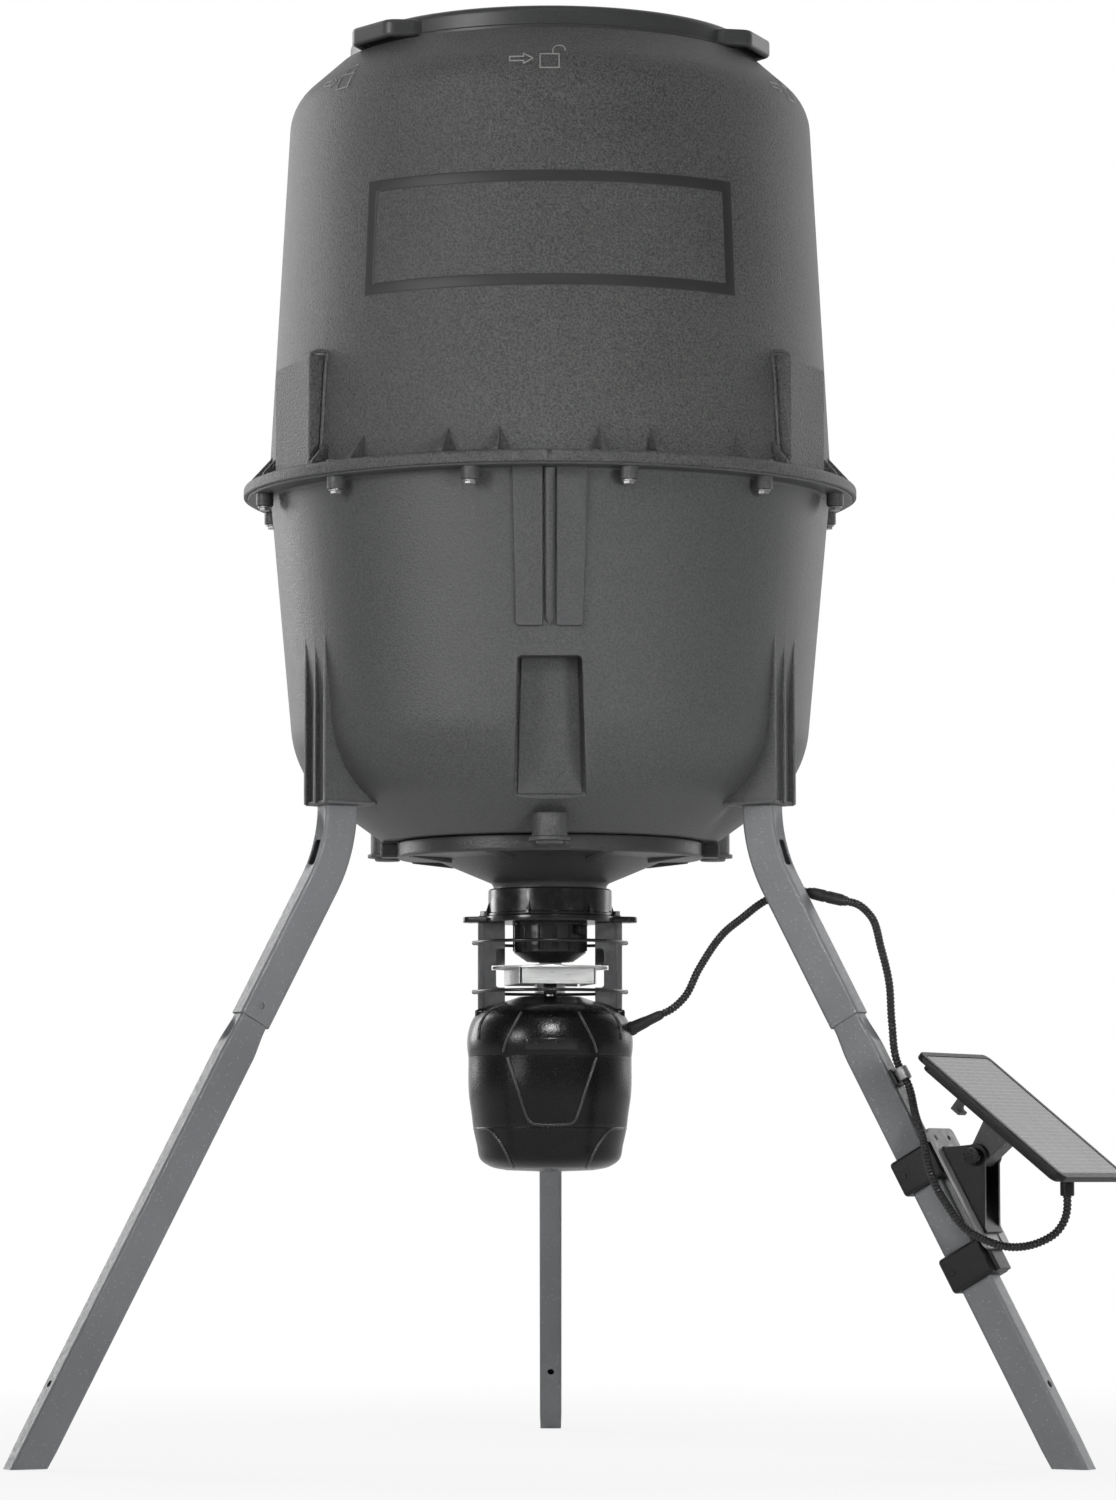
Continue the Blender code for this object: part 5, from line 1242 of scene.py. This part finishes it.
def legs():
    half = (LEG_WIDE / 2, LEG_THICK / 2)
    neck = [full - LEG_WALL - GAP for full in half]
    joint = UPPER_LEG_RUN
    upper = []
    slot = []
    for here, out, share in leg_stations():
        crease = 0.0045 * max(0.0, 1 - (abs(share - 0.5) / 0.42) ** 2) if 0 < share < 1 else 0.0
        upper.append((here, out, *half, crease))
        if 0.530 <= here.z <= 0.560:
            pair = [here + out * (half[0] - 0.0040), here + out * (half[0] + 0.004)]
            slot.append([(point.x, point.z) for point in pair])
    outline = [inner for inner, _ in slot] + [outer for _, outer in reversed(slot)]

    def is_end(edge):
        first, second = (vert.co for vert in edge.verts)
        if abs(first.z - second.z) > 1e-6:
            return False
        spots = [(first.x, first.y), (second.x, second.y)]
        for pair in (slot[0], slot[-1]):
            if all(min(math.dist(spot, point) for point in pair) < 1e-5 for spot in spots):
                return True
        return False

    lower = [(leg_point(joint + run), LEG_ACROSS, *neck, 0.0) for run in (-0.05, 0.002)]
    for index in range(1, 11):
        share = index / 10
        swell = share * share * (3 - 2 * share)
        grown = [small + (full - small) * swell for small, full in zip(neck, half)]
        dent = 0.0042 * math.sin(math.pi * min(1.0, share * 1.05)) ** 2
        lower.append((leg_point(joint + 0.002 + (SWAGE - 0.002) * share), LEG_ACROSS, *grown, dent))
    for height in (0.30, 0.22, 0.14, 0.06, 0.022):
        lower.append((leg_point(leg_run(height)), LEG_ACROSS, *half, 0.0))
    # The foot is cut level
    level = Vector((1 / math.cos(LEG_LEAN), 0, 0))
    lower.append((leg_point(leg_run(0.0)), level, half[0] - 0.0005, half[1] - 0.0005, 0.0))

    stake = leg_run(STAKE_Z)
    for side, azimuth in LEGS.items():
        place = spin(azimuth)
        cutters = [prism(outline, -0.0065, 0.0065, place, 0.0050, 5, is_end)]
        ends = [leg_point(PIN_RUN, 0.002, sideways) for sideways in (0.03, 0.008)]
        cutters.append(rod(*ends, PIN_R, place=place))
        made = combine(hollow_leg(upper, place), (), cutters)
        piece(f"leg_upper_{side}", made, LEG, "stand", f"upper_leg_{side}")
        cutters = [rod(leg_point(stake, -0.03), leg_point(stake, 0.03), PIN_R, place=place)]
        made = combine(hollow_leg(lower, place), (), cutters)
        piece(f"leg_lower_{side}", made, LEG, "stand", f"lower_leg_{side}")


# Feeder unit


def collar():
    low, high = COLLAR_Z
    profile = [
        (0.0575, high, 0.002), (0.0575, low + 0.003, 0.001), (0.0585, low + 0.0022, 0.0006),
        (0.0585, low, 0.0006), (0.0534, low), (0.0534, high, 0.001),
    ]
    rib = [(0.0540, 0.0020, low + 0.0004), (0.0605, 0.0014, low + 0.0004)]
    rib += [(0.0605, 0.0014, low + 0.0045), (0.0540, 0.0006, high - 0.0020)]
    ribs = [wedge(rib, spin(FRONT - 20.0 + 60.0 * index), 0.0004) for index in range(6)]
    piece("outlet_collar", combine(turned(rounded(profile), MIDDLING), ribs), GLOSS, "stand", "collar")


def top_plate():
    low, high = PLATE_Z
    lean = 13.0
    outline = arc((0.0, 0.0), 0.0605, lean, 180 - lean, 40)
    outline += arc((-0.0710, 0.0), 0.0100, 115, 245, 12)
    outline += arc((0.0, 0.0), 0.0605, 180 + lean, 360 - lean, 40)
    outline += arc((0.0710, 0.0), 0.0100, -65, 65, 12)
    holes = []
    for x, radius, sides in ((0, NOZZLE_R - 0.0025, 60), (-0.074, 0.0028, 20), (0.074, 0.0028, 20)):
        holes.append(rod((x, 0, low - 0.01), (x, 0, high + 0.01), radius, sides))
    made = combine(plate(outline, low, high, bevel=0.0010), (), holes)
    piece("unit_top_plate", made, GLOSS, "stand", "top_plate")

    def upright(at, start, end, *size):
        return rod((*at, high + start), (*at, high + end), *size)

    for name, side in SIDES.items():
        at = (side * 0.0610, -0.002)
        bolt = upright(at, 0.0012, 0.0052, 0.0046, 6, 0.0004)
        washer = upright(at, GAP, 0.0016, 0.0052, 28, 0.0003)
        combine(bolt, [washer], [upright((0, 0), 0.0, 0.01, 0.0588, MIDDLING)])
        piece(f"plate_bolt_head_{name}", bolt, ZINC, "stand", f"plate_bolt_{name}")


def straps():
    near, far = STRAP_X
    low, high = STRAP_Z
    for name, side in SIDES.items():
        outline = [
            (near, -0.0125), (far, -0.0125, 0.0030), (far, 0.0125, 0.0030), (near, 0.0125), (near, 0.0103),
            (far - 0.0022, 0.0103, 0.0010), (far - 0.0022, -0.0103, 0.0010), (near, -0.0103),
        ]
        outline = rounded([(side * point[0], *point[1:]) for point in outline], 4)
        strap = plate(outline, low, high, bevel=0.0003, segments=1)
        root = (side * 0.0618, -0.0139, low + 0.0004)
        fold = block(root, (side * 0.0668, -0.0115, high - 0.0004), 0.0008, 2)
        dome = [(0.0, DOME[0][1] + 0.0005), *inset(smooth_profile(DOME, 0.003), -0.0005), (0.0, DOME[-1][1])]
        notches = [
            block((side * 0.049, -0.03, 0.4462), (side * 0.0545, 0.03, 0.4512)),
            block((side * 0.038, -0.03, 0.430), (side * 0.0502, -0.002, 0.466), 0.003, 3),
            block((side * 0.038, 0.002, 0.430), (side * 0.0502, 0.03, 0.4515), 0.003, 3),
            turned(dome, MIDDLING),
        ]
        piece(f"unit_strap_{name}", combine(strap, [fold], notches), STRAP, "stand", f"strap_{name}")


def guard_rings():
    spots = [math.tau * step / 12 for step in range(12)]
    section = [(RING_WIRE_R * math.cos(spot), RING_WIRE_R * math.sin(spot)) for spot in spots]
    half = [(0.0015, 0.0036), (0.0021, 0.0022)]
    profile = [(0.0, -0.004), *[(radius, -height) for radius, height in half], (0.0022, 0.0), *half[::-1]]
    for name, height in RING_Z.items():
        turns = [360.0 * index / 120 for index in range(120)]
        ring = loft([[polar(RING_R + out, turn, height + up) for out, up in section] for turn in turns])
        knobs = []
        for azimuth in (0.0, 180.0):
            knob = turned([*profile, (0.0, 0.004)], 16)
            place = spin(azimuth) @ Matrix.Translation((RING_R, 0, height))
            knob.data.transform(place @ Matrix.Rotation(math.pi / 2, 4, "X"))
            knobs.append(knob)
        made = combine(ring, knobs)
        piece(f"unit_ring_{name}", made, GLOSS, "stand", f"guard_ring_{name}", sharp=60)


def nozzle():
    inner = NOZZLE_R - 0.0026
    profile = [
        (NOZZLE_R, 0.4902), (NOZZLE_R, 0.4625, 0.002), (0.0214, 0.4541, 0.001), (0.0190, 0.4541),
        (inner, 0.4633, 0.002), (inner, 0.4902),
    ]
    added = []
    for index in range(14):
        turn = 7.0 + 360.0 * index / 14
        # The ribs leave room for the thumb screw
        if abs((turn - THUMB_TURN + 180) % 360 - 180) > 12:
            low = (NOZZLE_R - 0.001, -0.0012, 0.4640)
            added.append(block(low, (NOZZLE_R + 0.0012, 0.0012, 0.4895), 0.0006, 2, spin(FRONT + turn)))
    root = NOZZLE_R - 0.001
    bead = [(root, 0.4902), (root, 0.4872), (NOZZLE_R + 0.0016, 0.4872, 0.0006), (NOZZLE_R + 0.0016, 0.4902)]
    added.append(turned(rounded(bead), MIDDLING))
    piece("unit_nozzle", combine(turned(rounded(profile), MIDDLING), added), GLOSS, "stand", "nozzle")
    place = spin(FRONT + THUMB_TURN)
    knob = block((NOZZLE_R + GAP, -0.0052, 0.4790), (NOZZLE_R + 0.0085, 0.0052, 0.4874), 0.0014, 3, place)
    tip = rod((NOZZLE_R + 0.006, 0, THUMB_Z), (NOZZLE_R + 0.0095, 0, THUMB_Z), 0.0034, 24, 0.0008, place)
    piece("unit_thumb_screw", combine(knob, [tip]), BLACK, "stand", "thumb_screw")


def spinner():
    low, top = SPINNER_Z
    profile = [
        (HUB_BORE_R, top), (0.0505, top), (0.0530, top + 0.0001, 0.0004), (0.0535, top - 0.0020, 0.0004),
        (0.0526, top - 0.0020), (0.0515, top - 0.0012), (HUB_BORE_R, top - 0.0012),
    ]
    disc = turned([(radius, min(height, top)) for radius, height in rounded(profile, 3)[::-1]], MIDDLING)

    def boss(start, end):
        outline = [(HUB_BORE_R, start), (HUB_R, start), (HUB_R, end, 0.0008), (HUB_BORE_R, end)]
        return turned(rounded(outline, 3), 40)

    added = [boss(top - 0.0006, 0.4518)]
    for index in range(4):
        turn = spin(FRONT + 12.0 + 90.0 * index)
        added.append(block((0.0354, -0.034, low), (0.0366, 0.034, top - 0.0004), 0.0003, 1, turn))
    piece("spinner_disc", combine(disc, added), BRIGHT, "spinner", "spinner_plate")
    piece("spinner_hub_boss", boss(top - 0.0015, 0.4250), BRIGHT, "spinner", "spinner_hub")
    screw = block((0.0136, -0.0062, 0.4236), (0.0178, 0.0062, 0.4362), 0.0022, 4, spin(FRONT))
    piece("spinner_set_screw", screw, BLACK, "spinner")


# Controller


def raised_lines_painted_highlight(name, lines, radius_at, thick, body):
    """Raised lines on the controller's front through (sideways, height) points, in a paler finish that is a
    painted highlight along them.
    """
    made = []
    for line in lines:
        flat, _ = smooth_route([(x, z, 0.0) for x, z in line], 0.0015)
        made.append(tube([on_drum(spot.x, spot.y, 0.0002, 0.0, radius_at) for spot in flat], thick, 10))
    piece(name, gather(made), PAINTED_HIGHLIGHT_LINES, body, sharp=60)


def mirrored(line):
    """A line of (sideways, height) points on the left and on the right."""
    return [[(side * x, z) for x, z in line] for side in (-1, 1)]


def controller_dome():
    wall = smooth_profile(DOME, 0.0022)
    wall_at = height_to_radius(wall)
    inner = inset(wall, SHELL)
    profile = [(0.0045, DOME[0][1]), *wall, (inner[-1][0], DOME[-1][1]), *reversed(inner[1:-1:2])]
    profile += [(inner[0][0], DOME[0][1] - SHELL), (0.0045, DOME[0][1] - SHELL)]
    dome = turned(profile, FINE)
    pads = []
    for side in (-1, 1):
        root = (side * 0.0405, -0.0145, 0.4015)
        pads.append(block(root, (side * 0.0695, 0.0145, STRAP_Z[0] - GAP), 0.002, 3))
    inner_lines = mirrored([(0.0262, 0.4055), (0.0353, 0.3879), (0.0405, 0.3770), (0.0426, 0.3690)])
    outer_lines = mirrored([(0.0660, 0.3810), (0.0640, 0.3957), (0.0555, 0.4075), (0.0408, 0.4140)])
    lines = [line for pair in zip(inner_lines, outer_lines) for line in pair]
    raised_lines_painted_highlight("controller_dome_lines", lines, wall_at, 0.0013, "stand")
    start, end = GLAND
    along = (end - start).normalized()
    bore = rod(start - along * 0.01, start + along * 0.03, 0.0071, 24)
    piece("controller_dome_shell", combine(dome, pads, [bore]), BLACK, "stand", "controller_dome")
    columns = [-0.0238, -0.0230, *[-0.022 + 0.044 * index / 12 for index in range(13)], 0.0230, 0.0238]
    columns = [0.0018 + x for x in columns]
    rows = [0.3712, 0.3720, 0.3768, 0.3808, 0.3816]

    def lay(column, row, lift):
        if lift > 0 and (column in (columns[0], columns[-1]) or row in (rows[0], rows[-1])):
            lift *= 0.3
        return on_drum(column, row, lift, 0.0, wall_at)

    piece("controller_bare_plate", wrapped(columns, rows, lay, -0.0010, 0.0006), GLOSS, "stand")


def controller_cup():
    wall = smooth_profile(CUP, 0.0022)
    inner = inset(wall, SHELL)
    profile = [(0.0, CUP_BOTTOM + SHELL), inner[-1], *reversed(inner[1:-1:2]), (inner[0][0], CUP[0][1])]
    cup = turned([*profile, *wall, (0.0, CUP_BOTTOM)][::-1], FINE)
    lines = mirrored([(0.0668, 0.2995), (0.0563, 0.2985), (0.0472, 0.2886), (0.0335, 0.2635)])
    # The shield's outline, open at its top
    left, low_left = (-0.0389, 0.3640), (-0.0187, 0.3030)
    low_right, right = (0.0223, 0.3030), (0.0425, 0.3640)
    first = fillet(left, low_left, low_right, 0.009, 6)
    second = fillet(low_left, low_right, right, 0.009, 6)
    spans = ((left, first[0]), (second[-1], right))
    halfway = [tuple((Vector(near) + Vector(far)) / 2) for near, far in spans]
    lines.append([left, halfway[0], *first, *second, halfway[1], right])
    raised_lines_painted_highlight("controller_cup_lines", lines, height_to_radius(wall), 0.0014, "cup")
    ridge = rounded([(0.0690, 0.2977), (0.0713, 0.2985, 0.0006), (0.0714, 0.3005, 0.0006), (0.0693, 0.3012)])
    combine(cup, [turned(ridge[::-1], FINE)])
    piece("controller_cup_shell", cup, BLACK, "cup", "controller_cup")


# Solar panel and its bracket


def leg_frame():
    """A matrix from (run down the leg, sideways, out of the outer face) to the right leg's place."""
    basis = Matrix((LEG_ALONG, Vector((0, 1, 0)), LEG_ACROSS)).transposed().to_4x4()
    basis.translation = leg_point(0.0)
    return RIGHT_LEG @ basis


def pivot_rod(start, end, radius, sides=24, bevel=0.0):
    """A bar along the panel's pivot, between two sideways distances."""
    x, z = PIVOT
    return rod((x, start, z), (x, end, z), radius, sides, bevel, RIGHT_LEG)


def clamps(frame_of):
    upper, lower = (leg_run(height) for height in BRACKET_BLOCKS)
    shapes = []
    for run in (upper, lower):
        shapes.append(block((run - 0.017, -0.018, -0.021), (run + 0.017, 0.018, 0.0245), 0.0035, 3, frame_of))
        shapes.append(rod((run, -0.017, -0.012), (run, -0.0188, -0.012), 0.0024, 20, 0.0005, frame_of))
    shapes.append(block((upper - 0.017, -0.012, 0.022), (lower + 0.017, 0.012, 0.0282), 0.001, 2, frame_of))
    wide = LEG_WIDE / 2 + 0.0004
    thick = LEG_THICK / 2 + 0.0004
    leg = block((upper - 0.1, -thick, -wide), (lower + 0.1, thick, wide), 0.002, 2, frame_of)
    piece("bracket_clamps", combine(shapes[0], shapes[1:], [leg]), BRACKET, "stand", "leg_bracket")


def base_and_fork(frame_of):
    top, bottom = (leg_run(height) for height in BASE_Z)
    outline = [(top, -0.026, 0.006), (bottom, -0.026, 0.008), (bottom, 0.026, 0.008), (top, 0.026, 0.006)]
    sheet = plate(rounded(outline, 6), *BASE_N, frame_of, 0.0006)
    holes = []
    for side in (-0.016, 0.010):
        low = (bottom - 0.014, side - 0.0022, 0.02)
        holes.append(block(low, (bottom - 0.005, side + 0.0022, 0.04), 0.0016, 3, frame_of))
        holes.append(rod((top + 0.010, side, 0.02), (top + 0.010, side, 0.04), 0.0026, 20, place=frame_of))
    piece("bracket_base_plate", combine(sheet, (), holes), STEEL, "stand", "base_plate")

    foot = block((top + 0.02, -0.0165, 0.0318), (bottom - 0.014, 0.0165, 0.0348), 0.001, 2, frame_of)
    root_high = leg_point(top + 0.0205, 0.0322)
    root_low = leg_point(bottom - 0.0145, 0.0322)
    outline = [(root_low.x, root_low.z), *arc(PIVOT, 0.011, -35, 115, 14), (root_high.x, root_high.z)]
    cheeks = []
    for middle in (-0.0145, 0.0145):
        cheeks.append(prism(outline, middle - 0.002, middle + 0.002, RIGHT_LEG, 0.0006))
    combine(foot, cheeks, [pivot_rod(-0.04, 0.04, PIVOT_BORE_R)])
    piece("bracket_fork", foot, BRACKET, "stand", "arm_fork")
    bolt = pivot_rod(-0.0205, 0.0215, 0.003, bevel=0.0006)
    knob = pivot_rod(-0.0245, -0.0168, 0.0078, 12, 0.0012)
    piece("bracket_pivot_bolt", combine(bolt, [knob]), BLACK, "stand", "pivot_bolt")


def cable_clip(frame_of):
    run = leg_run(CLIP_Z)
    foot = block((run - 0.008, -0.011, LEG_WIDE / 2 + GAP), (run + 0.008, 0.005, 0.0196), 0.0012, 3, frame_of)
    piece("cable_clip_foot", foot, BRACKET, "stand", "cable_clip")

    def along_leg(reach, *size):
        ends = [(run + shift, CLIP_SIDEWAYS, CLIP_OUT) for shift in (-reach, reach)]
        return rod(*ends, *size, place=frame_of)

    band = combine(along_leg(0.006, 0.0062, 32, 0.001), (), [along_leg(0.02, CABLE_RIB_R + 0.0004, 28)])
    piece("cable_clip_band", band, STEEL, "stand")


def cell_finish(basis):
    """Solar cells: fine pale lines over a dark sheet, laid out in the panel's own plane."""
    made = Finish("solar_cell_sheet", "solar_cells")
    inverse = basis.inverted()
    settings = {"Vector": made.place, "Location": inverse.translation, "Rotation": inverse.to_euler()}
    flat = made.node("ShaderNodeMapping", settings)["Vector"]
    parts = made.node("ShaderNodeSeparateXYZ", {"Vector": flat})
    sheen = made.noise(26.0, 3.0, flat)
    lines = []
    for axis, pitch, width in (("X", 0.0052, 0.16), ("Y", 0.0210, 0.05)):
        cycle = made.math("FRACT", made.math("DIVIDE", parts[axis], pitch))
        lines.append(made.math("LESS_THAN", cycle, width))
    lines = made.math("MAXIMUM", *lines)
    base = made.mix(sheen, (0.115, 0.118, 0.126), (0.150, 0.153, 0.162))
    base = made.mix(made.math("MULTIPLY", lines, 0.6), base, (0.30, 0.30, 0.31))
    rough = made.spread(sheen, 0.0, 1.0, 0.16, 0.26)
    return made.set(base, rough, lines, 0.00003, Coat_Weight=0.15, Coat_Roughness=0.08)


def panel():
    slope = Vector((math.cos(PANEL_SLOPE), 0, -math.sin(PANEL_SLOPE)))
    face = Vector((math.sin(PANEL_SLOPE), 0, math.cos(PANEL_SLOPE)))
    local = Matrix((slope, Vector((0, 1, 0)), face)).transposed().to_4x4()
    local.translation = Vector((PANEL_CENTRE[0], 0, PANEL_CENTRE[1]))
    basis = RIGHT_LEG @ local
    half_a, half_t = PANEL_HALF
    half_m = PANEL_THICK / 2

    def sheet(margin, corner, low, high, *edge):
        a = half_a - margin
        t = half_t - margin
        outline = rounded([(-a, -t, corner), (a, -t, corner), (a, t, corner), (-a, t, corner)], 6)
        return plate(outline, low, high, basis, *edge)

    tray = sheet(0.0, 0.009, half_m - 0.0062, half_m, 0.0014, 3)
    under = sheet(0.008, 0.007, -half_m, half_m - 0.005, 0.0012, 2)
    low, high = ((*PANEL_BOSS, height) for height in PANEL_BOSS_Z)
    boss = rod(low, high, 0.0062, 28, 0.0012, RIGHT_LEG)
    bed = sheet(0.006, 0.004, half_m - 0.0028, half_m + 0.01)
    piece("panel_tray", combine(tray, [under, boss], [bed]), BRACKET, "panel", "panel_frame")
    glass = sheet(0.0063, 0.0038, half_m - 0.0025, half_m - 0.0004, 0.0004, 1)
    piece("panel_cells", glass, cell_finish(Matrix.Translation(AXIS) @ basis), "panel", "panel_glass")

    back = -half_m - GAP
    outline = [(-0.060, -0.022, 0.005), (0.034, -0.022, 0.005), (0.034, 0.022, 0.005), (-0.060, 0.022, 0.005)]
    yoke = plate(rounded(outline), back - 0.003, back, basis, 0.0006)
    pivot = local.inverted() @ Vector((PIVOT[0], 0, PIVOT[1]))
    outline = [(pivot.x + 0.017, back - 0.0015), (pivot.x - 0.017, back - 0.0015)]
    outline += arc((pivot.x, pivot.z), 0.0095, 180, 360, 16)
    tongue = prism(outline, -0.0118, 0.0118, basis, 0.0008)
    hook = [(-0.0575, back - 0.001), (-0.0575, back - 0.026), (-0.0475, back - 0.026)]
    hook += [(-0.0475, back - 0.0225), *arc((-0.0505, back - 0.0195), 0.003, 270, 180, 5)]
    hook.append((-0.0535, back - 0.001))
    hook = prism(hook, -0.0075, 0.0075, basis, 0.0006)
    combine(yoke, [tongue, hook], [pivot_rod(-0.04, 0.04, PIVOT_BORE_R)])
    piece("panel_back_yoke", yoke, GREY, "panel", "panel_yoke")


# The pieces inside keep their CAD shape and get finishes of their own


def inner_finishes():
    screen = Finish("display_window", "display_glass")
    rows = screen.noise(180.0)
    tone = screen.mix(rows, (0.22, 0.27, 0.20), (0.26, 0.31, 0.24))
    screen.set(tone, screen.spread(rows, 0.0, 1.0, 0.10, 0.18), Coat_Weight=0.5)
    finishes = {
        "battery": moulded("battery_case_grey", "battery_case", (0.060, 0.060, 0.065), 0.50, 300.0),
        "timer_case": moulded("timer_case_grey", "timer_case", (0.20, 0.20, 0.21), 0.46, 500.0),
        "display": screen,
        "motor": ZINC,
        "motor_shaft": ZINC,
        "controller_deck": BLACK,
    }
    finishes.update(dict.fromkeys(("lid_gasket", "button_1", "button_2", "button_3"), RUBBER))
    for name, finish in finishes.items():
        NODES[name].data.materials.clear()
        NODES[name].data.materials.append(finish.material)


legs()
collar()
top_plate()
straps()
guard_rings()
nozzle()
spinner()
controller_dome()
controller_cup()
LEG_FRAME = leg_frame()
clamps(LEG_FRAME)
base_and_fork(LEG_FRAME)
cable_clip(LEG_FRAME)
panel()
inner_finishes()
bpy.data.scenes.remove(SHAPING)
